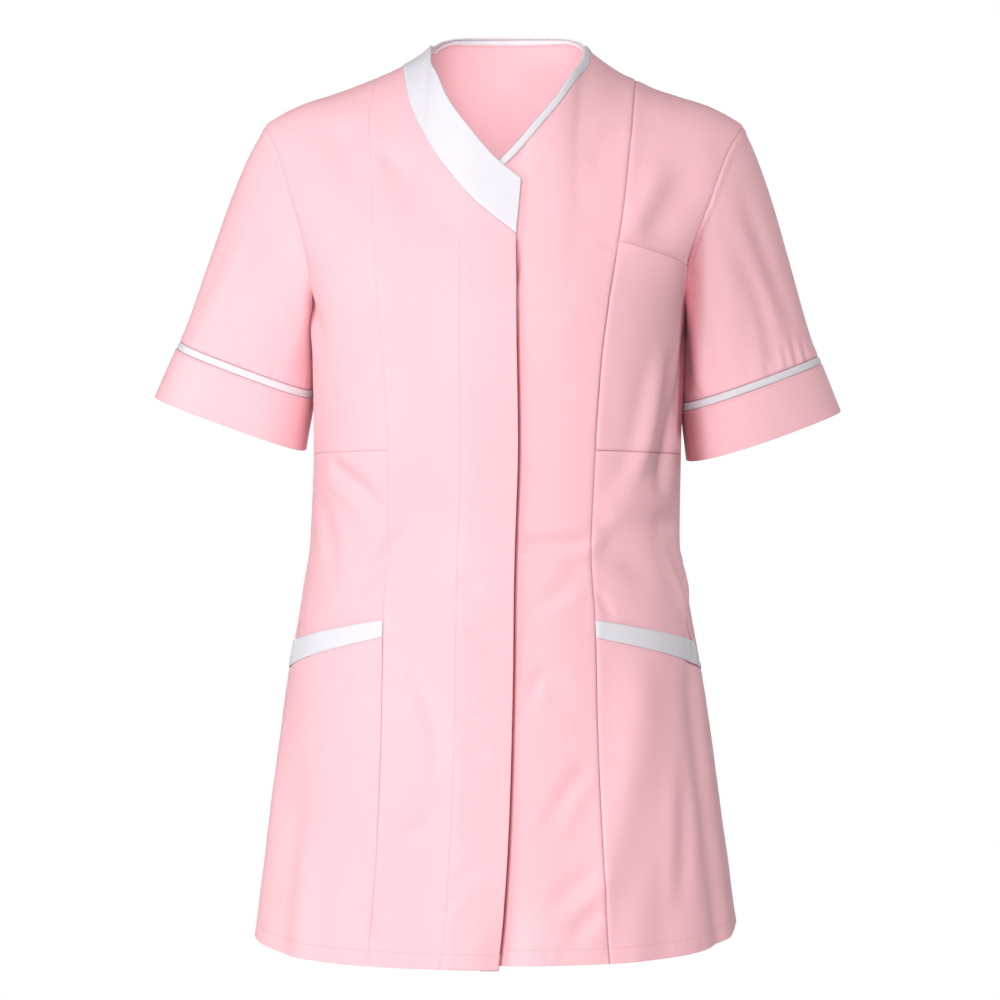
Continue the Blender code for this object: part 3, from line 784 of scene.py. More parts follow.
class Nodes:
    """A shader node tree, built in short lines."""

    def __init__(self, tree: bpy.types.NodeTree) -> None:
        """Take up a tree."""
        self.tree = tree

    def feed(self, node: bpy.types.Node, inputs: dict[str | int, object]) -> None:
        """Give a node's inputs their values.

        Args:
            node: the node.
            inputs: a signal or a plain value for each input.
        """
        for name, value in inputs.items():
            if isinstance(value, Signal):
                self.tree.links.new(value.socket, node.inputs[name])
            else:
                node.inputs[name].default_value = value

    def add(
        self, kind: str, inputs: dict[str | int, object], output: str | int = 0, **settings: object
    ) -> Signal:
        """Place a node.

        Args:
            kind: its type, without its prefix.
            inputs: a signal or a plain value for each input.
            output: which output is wanted.
            **settings: its properties.

        Returns:
            That output.
        """
        node = self.tree.nodes.new(f"ShaderNode{kind}")
        for name, value in settings.items():
            setattr(node, name, value)
        self.feed(node, inputs)
        return Signal(self, node.outputs[output])

    def maths(self, operation: str, first: Signal | float, second: Signal | float = 0.0) -> Signal:
        """The result of a Math node."""
        return self.add("Math", {0: first, 1: second}, operation=operation)

    def noise(self, place: Signal, scale: float, detail: float) -> Signal:
        """The value of a Noise Texture node."""
        return self.add("TexNoise", {"Vector": place, "Scale": scale, "Detail": detail})

    def solid_noise(self, scale: float, detail: float) -> Signal:
        """The same, in the object's own space."""
        return self.noise(self.add("TexCoord", {}, "Object"), scale, detail)


class Effects:
    """The shader node groups that the finishes share, each made once."""

    uv = "cloth"
    # the mesh attribute that holds how deep the painted shade is at each point
    seam = "seam"
    rib_height, thread_height = 0.34, 0.16
    slub_scale, cloud_scale, patch_scale = 900, 9, 160
    streak_scale = (420, 14, 1)

    def __init__(self) -> None:
        """Make the groups."""
        self.weave, self.tone, self.wear = self._weave(), self._tone(), self._wear()

    @staticmethod
    def _group(
        name: str, inputs: dict[str, float], outputs: Sequence[str]
    ) -> tuple[Nodes, list[Signal], bpy.types.Node]:
        """A new node group with number sockets.

        Args:
            name: the group's name.
            inputs: its inputs with their usual values.
            outputs: its outputs.

        Returns:
            Its nodes, its inputs as signals, and its Group Output node.
        """
        tree = bpy.data.node_groups.new(name, "ShaderNodeTree")
        for label, value in inputs.items():
            socket = tree.interface.new_socket(label, in_out="INPUT", socket_type="NodeSocketFloat")
            socket.default_value = value
        for label in outputs:
            tree.interface.new_socket(label, in_out="OUTPUT", socket_type="NodeSocketFloat")
        nodes, source = Nodes(tree), tree.nodes.new("NodeGroupInput")
        signals = [Signal(nodes, source.outputs[label]) for label in inputs]
        return nodes, signals, tree.nodes.new("NodeGroupOutput")

    def _weave(self) -> bpy.types.NodeTree:
        """Twill: slanted ribs with the threads across them, on the cloth's own UV map.

        Returns:
            The group, which gives the cloth's height and how much thread shows.
        """
        inputs = {"Pitch": 0.0005, "Slub": 0.4}
        nodes, (pitch, slub), out = self._group("twill_weave", inputs, ("Height", "Thread"))
        uv = nodes.add("UVMap", {}, uv_map=self.uv)
        parts = nodes.add("SeparateXYZ", {"Vector": uv})
        across, along = parts / pitch, parts["Y"] / pitch
        rib = nodes.maths("SINE", (across + along) * math.pi)
        thread = nodes.maths("SINE", along * (2 * math.pi))
        unevenness = (nodes.noise(uv, self.slub_scale, 2) - 0.5) * slub
        height = rib * self.rib_height + thread * self.thread_height + 0.5 + unevenness
        nodes.feed(out, {"Height": height, "Thread": (rib + 1) * 0.5})
        return nodes.tree

    def _tone(self) -> bpy.types.NodeTree:
        """Slow clouds and fine upright streaks, as in dyed cloth that has been washed.

        Returns:
            The group, which gives the tone.
        """
        inputs = {"Clouds": 1.0, "Streaks": 1.0}
        nodes, (cloudy, streaky), out = self._group("dye_tone", inputs, ("Tone",))
        clouds = nodes.solid_noise(self.cloud_scale, 4)
        uv = nodes.add("UVMap", {}, uv_map=self.uv)
        stretch = nodes.add("Mapping", {"Vector": uv, "Scale": self.streak_scale})
        streaks = nodes.noise(stretch, 1, 2)
        nodes.feed(out, {"Tone": (clouds - 0.5) * cloudy + (streaks - 0.5) * streaky + 0.5})
        return nodes.tree

    def _wear(self) -> bpy.types.NodeTree:
        """Painted shade at the seams, under lapped edges and where parts lie close.

        Returns:
            The group, which gives how deep the painted shade is there.
        """
        inputs = {"Depth": 1.0, "Break": 0.15}
        nodes, (depth, broken), out = self._group("pressed_seams", inputs, ("Mask",))
        # the attribute holds painted shade, broken a little by noise below
        seam = nodes.add("Attribute", {}, "Fac", attribute_name=self.seam)
        patches = nodes.solid_noise(self.patch_scale, 3)
        mask = seam * ((0.5 - patches) * broken + depth)
        nodes.feed(out, {"Mask": mask.between(0, 1)})
        return nodes.tree


@dataclass(frozen=True)
class Finish:
    """A woven finish.

    Attributes:
        name: the material's name.
        slot: the record's material slot; not used.
        colour: the cloth's colour, linear.
        deep: the colour in its threads' shade, and of the painted shade at its seams and where parts lie
            close.
        rough: the roughness of the threads' tops and of the gaps between.
        pitch: the weave's pitch in metres.
        relief: the height of the weave in metres.
        mottle: how strongly the tone varies.
        sheen: the soft light of its nap at a slant.
        gap_tint: how deep the colour is between the threads.
        tone_tint: how deep it is where the tone is 1.
        pale_tone: the tone up to which it isn't deeper.
    """

    name: str
    slot: str
    colour: Triple
    deep: Triple
    rough: Pair = (0.74, 0.92)
    pitch: float = 0.00055
    relief: float = 0.00008
    mottle: float = 0.5
    sheen: float = 0.06
    gap_tint: float = 0.09
    tone_tint: float = 0.35
    pale_tone: float = 0.35

    def material(self) -> bpy.types.Material:
        """The finish's material, made on first use.

        Returns:
            The material.
        """
        made = bpy.data.materials.get(self.name)
        if made is not None:
            return made
        made = bpy.data.materials.new(self.name)
        made.use_nodes = True
        nodes = Nodes(made.node_tree)
        streaks = {"Clouds": 0.9 * self.mottle, "Streaks": 0.3 * self.mottle}
        weave = nodes.add("Group", {}, node_tree=EFFECTS.weave)
        nodes.feed(weave.socket.node, {"Pitch": self.pitch})
        tone = nodes.add("Group", {}, node_tree=EFFECTS.tone)
        nodes.feed(tone.socket.node, streaks)
        # painted shade at the seams and where parts lie close, read from the mesh's attribute
        wear = nodes.add("Group", {}, node_tree=EFFECTS.wear)
        gap = 1 - weave["Thread"]
        tint = gap * self.gap_tint + (tone - self.pale_tone) * self.tone_tint
        soft = nodes.maths("MAXIMUM", tint, 0)
        # the deep colour shows in the weave's gaps, where the tone is deep, and as painted shade
        colours = {"A": (*self.colour, 1), "B": (*self.deep, 1), "Factor": soft.between(wear, 1)}
        colour = nodes.add("Mix", colours, "Result", data_type="RGBA")
        relief = {"Height": weave, "Strength": 0.6, "Distance": self.relief}
        low, high = self.rough
        values = {
            "Base Color": colour,
            "Roughness": gap * (high - low) + low,
            "Normal": nodes.add("Bump", relief),
            "Sheen Weight": self.sheen,
            "Sheen Roughness": 0.5,
            "Specular IOR Level": 0.25,
        }
        nodes.feed(made.node_tree.nodes["Principled BSDF"], values)
        return made


EFFECTS = Effects()
# each finish's deep colour is also the colour of its painted shade
PINK = Finish("pink_cotton_twill", "pink_twill", (0.90, 0.52, 0.568), (0.38, 0.05, 0.08))
WHITE = Finish("white_cotton_twill", "white_twill", (0.69, 0.668, 0.712), (0.47, 0.44, 0.5), sheen=0.05)
PINK_THREAD = Finish("pink_thread", "pink_twill", (0.72, 0.33, 0.39), (0.52, 0.18, 0.24), pitch=0.0003)
WHITE_THREAD = Finish("white_thread", "white_twill", (0.74, 0.75, 0.8), (0.55, 0.56, 0.62), pitch=0.0003)


# ---- cloth ----


@dataclass(frozen=True)
class SeamWork:
    """How one edge of a panel is made.

    Attributes:
        sewn: how far the cloth sinks into the seam.
        bulge: how far it stands up beside the seam.
        pucker: the height of the small puckers along it.
        spacing: from pucker to pucker.
        reach: how far they reach into the panel.
        folded: the width of the edge turned under, or 0.
        stitched: how far from the edge a row of stitches runs, or 0.
        trough: how wide the sunk strip is.
        bulge_at: how far from the edge the bulge is highest.
        bulge_width: how wide it is.
        flat_edge: how far in the puckers start.
        dip: how far the row of stitches pulls the cloth in.
        dip_width: how wide that dip is.
        press: how deep the painted shade is in a seam that sinks 1 mm.
        press_width: how wide that painted shade is.
        stitch_dip_shade: how deep the painted shade is in the dip along the stitches.
        stitch_dip_shade_width: how wide that painted shade is.
    """

    sewn: float = 0.0
    bulge: float = 0.0
    pucker: float = 0.0
    spacing: float = 14.0
    reach: float = 10.0
    folded: float = 0.0
    stitched: float = 0.0
    trough: float = 0.95
    bulge_at: float = 4.5
    bulge_width: float = 3.0
    flat_edge: float = 1.5
    dip: float = 0.16
    dip_width: float = 1.3
    # painted shade in the seam's groove and in the stitches' dip
    press: float = 0.8
    press_width: float = 0.6
    stitch_dip_shade: float = 0.1
    stitch_dip_shade_width: float = 0.9

    def height(self, away: Array, along: Array, seed: float) -> Array:
        """How the edge moves the cloth.

        Args:
            away: the distance from the edge.
            along: the distance along it.
            seed: shifts its puckers.

        Returns:
            Millimetres at each point.
        """
        wave = ripple(along, self.spacing, seed) * soft_step(away / self.flat_edge)
        height = self.bulge * hump(away, self.bulge_width, self.bulge_at)
        height -= self.sewn * hump(away, self.trough)
        if self.stitched:
            height -= self.dip * hump(away, self.dip_width, self.stitched)
        return height + self.pucker * wave * hump(away, self.reach)

    def marks(self, away: Array) -> Array:
        """How deep the painted shade is in the seam's groove and in the dip along the stitches.

        Args:
            away: the distance from the edge.

        Returns:
            Shares of the deep colour.
        """
        # painted shade in the groove, deeper where the seam sinks further
        groove_shaded = self.press * self.sewn**1.5 * hump(away, self.press_width)
        if not self.stitched:
            return groove_shaded
        return np.maximum(groove_shaded, self.stitch_dip_shade * hump(away, self.stitch_dip_shade_width, self.stitched))


SEWN = SeamWork(sewn=0.75, bulge=0.2, pucker=0.3)
EASY_SEAM = SeamWork(sewn=0.45, bulge=0.2, pucker=0.14)
PRINCESS = {Side.LEFT: SEWN, Side.RIGHT: SeamWork(sewn=0.16, bulge=0.1, pucker=0.14)}
FREE = SeamWork()
HEM = SeamWork(pucker=0.7, spacing=11, reach=15, folded=13, stitched=12)
Work = dict[Edge, SeamWork]


def ripple(along: Array, spacing: float, seed: float) -> Array:
    """An irregular wave along a seam, from about -1 to 1.

    Args:
        along: the distance along the seam.
        spacing: from crest to crest.
        seed: shifts the wave.

    Returns:
        Its height at each point.
    """
    turn = 2 * math.pi * along / spacing
    slow = 0.55 + 0.45 * np.sin(turn / 5.3 + seed * 2.1)
    wobble = 0.9 * np.sin(turn * 0.37 + seed * 1.7)
    return slow * (
        0.65 * np.sin(turn + wobble + seed) + 0.35 * np.sin(turn * 1.71 - wobble + 2 * seed)
    )


@dataclass
class Panel:
    """A piece of cloth as a grid of points, rows from low to high and columns left to right.

    Attributes:
        points: the grid, in metres.
        work: how its edges are made.
        seed: shifts its puckers.
        wall: the cloth's thickness.
        fold: how much wider than the wall a folded edge's nose is.
    """

    points: Array
    work: Work
    seed: float = 0.0
    wall: float = 0.62
    fold: float = 0.06

    def __post_init__(self) -> None:
        """Measure the grid."""
        along, up = np.gradient(self.points, axis=1), np.gradient(self.points, axis=0)
        self.normals = unit(np.cross(along, up))
        self.columns, self.rows = run_length(self.points, 1) / MM, run_length(self.points, 0) / MM
        self.away = {
            Edge.LEFT: self.columns,
            Edge.RIGHT: self.columns[:, -1:] - self.columns,
            Edge.LOW: self.rows,
            Edge.HIGH: self.rows[-1:] - self.rows,
        }
        # seam: how deep the painted shade is at each point; shade: the panel's own painted shade
        self.seam, self.shade = np.zeros(self.points.shape[:2]), 0.0

    @property
    def level(self) -> Array:
        """The level of each point."""
        return self.points[..., 2] / MM

    @property
    def out(self) -> Array:
        """How far out each point is from the body's centre, left above 0."""
        return self.points[..., 0] / MM - FORM.centre_at(self.level)

    def raise_by(self, height: Array | float) -> "Panel":
        """Move the cloth out by so many millimetres, and give the panel back."""
        self.points = self.points + self.normals * (np.asarray(height, float) * MM)[..., None]
        return self

    def work_edges(self) -> "Panel":
        """Sink the seams, add puckers and dips, and paint shade in those and where the panel's shade lies.

        Returns:
            The panel itself.
        """
        height = np.zeros(self.seam.shape)
        for edge, made in self.work.items():
            along = self.rows if edge in (Edge.LEFT, Edge.RIGHT) else self.columns
            height += made.height(self.away[edge], along, self.seed + edge.value)
            self.seam = np.maximum(self.seam, made.marks(self.away[edge]))
        self.seam = np.maximum(self.seam, self.shade)
        return self.raise_by(height)

    @staticmethod
    def _edge_first(grid: Array, edge: Edge, back: bool = False) -> Array:
        """A grid turned so that an edge is its first row.

        Args:
            grid: the grid.
            edge: the edge.
            back: whether to turn such a grid back again.

        Returns:
            The turned grid.
        """
        flip = edge in (Edge.RIGHT, Edge.HIGH)
        grid = grid[::-1] if flip and back else grid
        grid = grid.swapaxes(0, 1) if edge in (Edge.LEFT, Edge.RIGHT) else grid
        return grid[::-1] if flip and not back else grid

    def line(self, edge: Edge, away: float) -> Line:
        """A line on the cloth beside one of its edges, before those are turned under.

        Args:
            edge: which edge.
            away: how far from it.

        Returns:
            The line's points and the way out at each.
        """
        grids = (self.away[edge], self.points, self.normals)
        found, out = [], []
        for gaps, *rows in zip(*(self._edge_first(grid, edge).swapaxes(0, 1) for grid in grids)):
            if gaps[-1] > away:
                for kept, row in zip((found, out), rows):
                    kept.append([np.interp(away, gaps, column) for column in row.T])
        return np.array(found), unit(np.array(out))

    def turn_under(self) -> "Panel":
        """Turn the folded edges under, round a soft nose.

        Returns:
            The panel itself.
        """
        for edge, made in self.work.items():
            if made.folded:
                self._turn_edge(edge, made.folded)
        return self

    def _turn_edge(self, edge: Edge, width: float) -> None:
        """Turn one edge under.

        Args:
            edge: which edge.
            width: how much cloth is turned under.
        """
        grids = (self.points, self.normals, self.seam, *self.away.values())
        points, *others = (self._edge_first(grid, edge) for grid in grids)
        normals, away = others[0], others[2 + edge.value]
        radius = self.wall + self.fold
        curl = np.sqrt(np.maximum(radius**2 - np.maximum(radius - away, 0) ** 2, 0))
        count = int((away[:, away.shape[1] // 2] <= width).sum())
        outer = points - normals * (radius - curl)[..., None] * MM
        inner = (points - normals * (radius + curl)[..., None] * MM)[1:count][::-1]
        grids = [np.concatenate([inner, outer])]
        grids += [np.concatenate([grid[1:count][::-1], grid]) for grid in others]
        grids = [self._edge_first(grid, edge, back=True) for grid in grids]
        self.points, self.normals, self.seam = grids[:3]
        self.away = dict(zip(self.away, grids[3:]))

    def made(self, name: str, finish: Finish, closed: bool = False) -> Piece:
        """The cloth as an object.

        Args:
            name: the piece's name.
            finish: its finish.
            closed: whether its left and right edges are one.

        Returns:
            The piece.
        """
        rows, columns = self.points.shape[:2]
        across, along = run_length(self.points, 1), run_length(self.points, 0)
        across = across - across[:, columns // 2 : columns // 2 + 1]
        mesh = bmesh.new()
        bmesh.ops.create_grid(mesh, x_segments=columns - 1, y_segments=rows - 1, size=0.5)
        uv = mesh.loops.layers.uv.new(Effects.uv)
        seam = mesh.verts.layers.float.new(Effects.seam)
        index = {}
        for vertex in mesh.verts:
            column = round((vertex.co.x + 0.5) * (columns - 1))
            row = round((vertex.co.y + 0.5) * (rows - 1))
            index[vertex.index] = (row, column)
            vertex.co = self.points[row, column]
            # how deep the painted shade is at this point
            vertex[seam] = self.seam[row, column]
        for face in mesh.faces:
            for loop in face.loops:
                place = index[loop.vert.index]
                loop[uv].uv = (across[place], along[place])
        if closed:
            bmesh.ops.remove_doubles(mesh, verts=mesh.verts, dist=1e-6)
        piece = finished(name, mesh, finish)
        wall = piece.modifiers.new("wall", "SOLIDIFY")
        wall.thickness = self.wall * MM
        wall.offset = -1
        wall.use_quality_normals = True
        return piece


def finished(name: str, mesh: bmesh.types.BMesh, finish: Finish) -> Piece:
    """A mesh made an object with its finish, riding on the tunic.

    Args:
        name: the piece's name.
        mesh: its shape, which is freed.
        finish: its finish.

    Returns:
        The piece.
    """
    data = bpy.data.meshes.new(name)
    mesh.to_mesh(data)
    mesh.free()
    data.shade_smooth()
    data.materials.append(finish.material())
    piece = bpy.data.objects.new(name, data)
    bpy.context.scene.collection.objects.link(piece)
    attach(piece, "root")
    return piece


@dataclass(frozen=True)
class Sheet:
    """A sheet of cloth: its names, and the flat cut of what shows of it.

    Attributes:
        name: the piece's name, where {} is the wearer's side.
        node: the CAD node that it stands for.
        flat: width and length, in metres; not used.
        area: in square metres; not used.
        rests_on: the pieces that it rests on; not used.
        held: how it is held; not used.
        finish: its finish.
    """

    name: str
    node: str
    flat: Pair
    area: float
    rests_on: tuple[str, ...] = ()
    held: str = "hung"
    finish: Finish = PINK

    def made(self, panel: Panel, side: Side | None = None, closed: bool = False) -> Piece:
        """Make the sheet of a worked panel.

        Args:
            panel: the panel.
            side: the wearer's side, for a sheet that each side has.
            closed: whether its left and right edges are one.

        Returns:
            The piece.
        """
        word = side.word if side else ""
        piece = panel.turn_under().made(self.name.format(word), self.finish, closed)
        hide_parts(self.node.format(word))
        return piece


RIGHT_FRONT = Sheet("right_front", "front_right", (0.168, 0.725), 0.0765, ("neck_band_trim",))
LEFT_FRONT = Sheet("left_front", "front_left", (0.185, 0.725), 0.0795, ("neck_binding_trim",))
UPPER_SIDE = Sheet("upper_side_front_{}", "upper_side_{}", (0.135, 0.310), 0.0335)
LOWER_SIDE = Sheet("lower_side_front_{}", "lower_side_{}", (0.15, 0.312), 0.041, (UPPER_SIDE.name,))
HIP_POCKET = Sheet("hip_pocket_front_{}", "hip_pocket_{}", (0.190, 0.252), 0.0385)
POCKET_BAND = Sheet(
    "hip_pocket_band_{}", "pocket_band_{}", (0.108, 0.028), 0.0021, (HIP_POCKET.name,), finish=WHITE
)
CHEST_POCKET = Sheet("chest_pocket", "chest_pocket_left", (0.118, 0.166), 0.0195, (UPPER_SIDE.name,))
BACK = Sheet("back_panel", "back", (0.56, 0.73), 0.335, ("neck_binding_trim",))
NECK_BAND = Sheet("neck_band_trim", "neck_band", (0.062, 0.205), 0.0072, (RIGHT_FRONT.name,), finish=WHITE)
BOUND = LEFT_FRONT.name, BACK.name
NECK_BINDING = Sheet("neck_binding_trim", "neck_binding", (0.0105, 0.345), 0.0024, BOUND, finish=WHITE)
SET_IN = UPPER_SIDE.name, BACK.name
SLEEVE = Sheet("set_in_sleeve_{}", "sleeve_{}", (0.375, 0.205), 0.0445, SET_IN)
SLEEVE_TRIM = Sheet(
    "sleeve_piping_{}", "sleeve_trim_{}", (0.0105, 0.335), 0.0023, (SLEEVE.name,), finish=WHITE
)
CUFF = Sheet("turned_cuff_{}", "cuff_{}", (0.365, 0.055), 0.0165, (SLEEVE.name,), held="folded")


def stretched(left: Array, right: Array, low: Array, high: Array, rows: Array, columns: Array) -> Array:
    """A grid of places stretched between four edges that meet at their ends.

    The bends of the low and high edges die away faster than the distance from them grows.

    Args:
        left: the left edge from low to high, as places.
        right: the right edge.
        low: the low edge from left to right.
        high: the high edge.
        rows: the rows' shares of the way up.
        columns: the columns' shares of the way across.

    Returns:
        The places, one row of the grid for each of the rows.
    """
    left, right = (resampled(line, rows, DEGREE_ARC)[:, None] for line in (left, right))
    low, high = (resampled(line, columns, DEGREE_ARC)[None] for line in (low, high))
    u, v = columns[None, :, None], rows[:, None, None]
    sides = left * (1 - u) + right * u
    bend_low = low - (low[:, :1] * (1 - u) + low[:, -1:] * u)
    bend_high = high - (high[:, :1] * (1 - u) + high[:, -1:] * u)
    return sides + bend_low * (1 - v) ** 3 + bend_high * v**3


def on_form(places: Array, work: Work, seed: float = 0.0) -> Panel:
    """A panel on the form, with the form's creases and its slow unevenness.

    Args:
        places: the grid of places.
        work: how its edges are made.
        seed: shifts its puckers.

    Returns:
        The panel.
    """
    panel = Panel(FORM.skin(places), work, seed)
    smooth = panel.points
    return panel.raise_by(FORM.field.push(smooth, panel.normals) + FORM.unevenness(smooth))


@dataclass
class Stitching:
    """Rows of stitches along lines on the cloth, joined into one piece.

    Attributes:
        name: the piece's name.
        finish: the thread's finish.
        pitch: from stitch to stitch.
        length: of a stitch.
        thickness: of the thread.
        near: how far ahead and behind the line is read for its way.
        proud: how far a stitch lies out of the cloth, as a share of its half thickness.
    """

    name: str
    finish: Finish
    pitch: float = 2.9
    length: float = 2.1
    thickness: float = 0.42
    near: float = 0.5
    proud: float = 0.35

    def make(self, lines: Sequence[Line]) -> Piece:
        """Lay a stitch at every pitch along the lines.

        Args:
            lines: for each line, its points and the way out at each.

        Returns:
            The piece.
        """
        mesh = bmesh.new()
        for points, out in lines:
            run = run_length(points, 0) / MM
            at = np.arange(self.pitch / 2, run[-1], self.pitch)
            reads = (at + self.near, points), (at - self.near, points), (at, points), (at, out)
            ahead, behind, places, ups = (
                np.stack([np.interp(stops, run, column) for column in rows.T], axis=-1)
                for stops, rows in reads
            )
            for place, up, way in zip(places, ups, unit(ahead - behind)):
                self._stitch(mesh, Vector(place), Vector(up), Vector(way))
        return finished(self.name, mesh, self.finish)

    def _stitch(self, mesh: bmesh.types.BMesh, place: Vector, up: Vector, way: Vector) -> None:
        """One stitch: a small pill that lies on the cloth.

        Args:
            mesh: gets the stitch.
            place: its middle.
            up: the way out of the cloth.
            way: the way the line runs.
        """
        aside = up.cross(way).normalized()
        up = way.cross(aside).normalized()
        half, thick = self.length / 2 * MM, self.thickness / 2 * MM
        turn = Matrix((way * half, aside * thick, up * thick)).transposed().to_4x4()
        matrix = Matrix.Translation(place + up * thick * self.proud) @ turn
        bmesh.ops.create_icosphere(mesh, subdivisions=1, radius=1, matrix=matrix)


# ---- the fronts ----


@dataclass
class CentreFronts:
    """The right front, and the left front that it laps over.

    Attributes:
        step: the even step of the grids.
        height: of the grids.
        width: of the grids.
        narrower: how much narrower their columns are than their rows.
        columns: the distances of the close columns beside each edge.
        under_edge: the first and last of the left front's close columns, as shares.
        under_count: how many of them there are.
        under_gap: how far they stay from the others.
        lift_at: level, and how far the right front's edge stands off the left front there.
        lifted: how far past the lap the lift dies away.
        fly: how far from the edge the stitches of the hidden closure run.
        fly_top: the level where they start.
        tip: the level below which the right front's edge throws painted shadow on the left front.
        tip_fade: how the painted shadow comes in below that.
        edge_fade: how far past the edge the painted shadow dies away.
        sink: how far the left front sinks beside that edge.
        sink_fade: how far past the edge it does so.
        tucked: how much higher the left front's hem runs under the lap.
        tuck_fade: the degrees from the centre front where it comes down again.
    """

    step: float = 3.0
    height: float = 720.0
    width: float = 105.0
    narrower: float = 0.92
    columns: tuple[float, ...] = (0.25, 0.6, 1.1, 1.9, 3.2, 5)
    under_edge: Pair = (0.24, 0.395)
    under_count: int = 17
    under_gap: float = 0.005
    lift_at: Curve = Curve((
        (-735, 3.2), (-700, 3.8), (-620, 3.2), (-550, 2.6), (-480, 3.6), (-400, 3.9), (-300, 4.2),
        (-230, 3.6), (-161, 2.3), (-107, 2.3),
    ))
    lifted: Fade = Fade(6, 28)
    fly: float = 45.0
    fly_top: float = -155.0
    tip: float = -158.0
    tip_fade: Fade = Fade(0, 12)
    edge_fade: Fade = Fade(0.7, 3)
    sink: float = 1.4
    sink_fade: Fade = Fade(-3, 12)
    tucked: float = 4.0
    tuck_fade: Fade = Fade(-0.6, 1.8)

    def lap_lift(self, panel: Panel, base: float = 0.0, extra: float = 0.0) -> Array:
        """How far the right side's cloth is lifted where the left front lies under it.

        Args:
            panel: the cloth.
            base: the lift away from the lap.
            extra: more lift at the lap.

        Returns:
            Millimetres at each point.
        """
        inside = PATTERN.opening_at(panel.level) - panel.out
        lift = self.lift_at(panel.level) + extra
        return base + (lift - base) * self.lifted.down(inside - PATTERN.lap)

    def _panel(self, side: Side, outs: Array, levels: Array, shift: float, own_work: SeamWork) -> Panel:
        """One centre front, from its own edge and its neckline.

        Args:
            side: the wearer's side.
            outs: how far out its neckline runs, up to the shoulder.
            levels: the neckline's levels.
            shift: how far its edge lies inside the right front's.
            own_work: how its own edge is made.

        Returns:
            The panel.
        """
        sign = side.value
        corner = FORM.turn_of(PATTERN.opening_at(PATTERN.lowest) - shift, PATTERN.lowest)
        rise = np.linspace(self._hem_level(corner, side), levels[0], PATTERN.stations)
        edge = FORM.places(np.append(PATTERN.opening_at(rise[:-1]) - shift, outs[0]), rise)
        own = np.concatenate([edge, FORM.places(outs[1:], levels[1:])])
        seam = PATTERN.seam(side)
        shoulder = PATTERN.ridge(outs[-1], sign * PATTERN.princess_shoulder)[::sign]
        left, right = (own, seam) if sign > 0 else (seam, own)
        turns = np.linspace(left[0, 0], right[0, 0], PATTERN.stations)
        hem = np.stack([turns, self._hem_level(turns, side)], axis=-1)
        rows = spaced(self.height, self.step, start=HEM_ROWS)
        step = self.step * self.narrower
        columns = spaced(self.width, step, start=self.columns, end=self.columns)
        if side is Side.LEFT:
            first, last = self.under_edge
            away = (columns < first - self.under_gap) | (columns > last + self.under_gap)
            columns = np.union1d(columns[away], np.linspace(first, last, self.under_count))
        own_edge, far_edge = (Edge.LEFT, Edge.RIGHT) if sign > 0 else (Edge.RIGHT, Edge.LEFT)
        work = {Edge.LOW: HEM, own_edge: own_work, far_edge: PRINCESS[side], Edge.HIGH: EASY_SEAM}
        return on_form(stretched(left, right, hem, shoulder, rows, columns), work, seed=sign * 1.3)

    def _hem_level(self, turn: Array, side: Side) -> Array:
        """The front's hem at a turn, with the left front's tucked up under the lap."""
        under = self.tuck_fade.down(turn) if side is Side.LEFT else 0.0
        return PATTERN.hem_level(turn, side.word) + self.tucked * under

    def build(self) -> list[Piece]:
        """Make both fronts.

        Returns:
            The pieces.
        """
        outs, levels = PATTERN.band()
        turned = SeamWork(folded=12, pucker=0.12, spacing=22, reach=14)
        right = self._panel(Side.RIGHT, -outs, levels, 0, turned)
        right.raise_by(self.lap_lift(right)).work_edges()
        points, ways = right.line(Edge.RIGHT, self.fly)
        below = points[:, 2] < self.fly_top * MM
        lines = [(points[below], ways[below]), right.line(Edge.LOW, HEM.stitched)]

        outs, levels = PATTERN.neck(PATTERN.binding_lowest, NeckTrims.binding_width)
        left = self._panel(Side.LEFT, outs, levels, PATTERN.lap, SeamWork(folded=12))
        self._lie_under(left)
        lines.append(left.work_edges().line(Edge.LOW, HEM.stitched))
        threads = Stitching("front_stitches", PINK_THREAD)
        return [RIGHT_FRONT.made(right), LEFT_FRONT.made(left), threads.make(lines)]

    def _lie_under(self, left: Panel) -> None:
        """Let the left front sink beside the right front's edge, and paint that edge's shadow on it.

        Args:
            left: the left front.
        """
        past, below = left.out - PATTERN.opening_at(left.level), self.tip - left.level
        left.raise_by(-self.sink * self.sink_fade.down(past))
        # painted shadow of the right front's edge
        left.shade = self.edge_fade.down(past) * self.tip_fade.up(below)


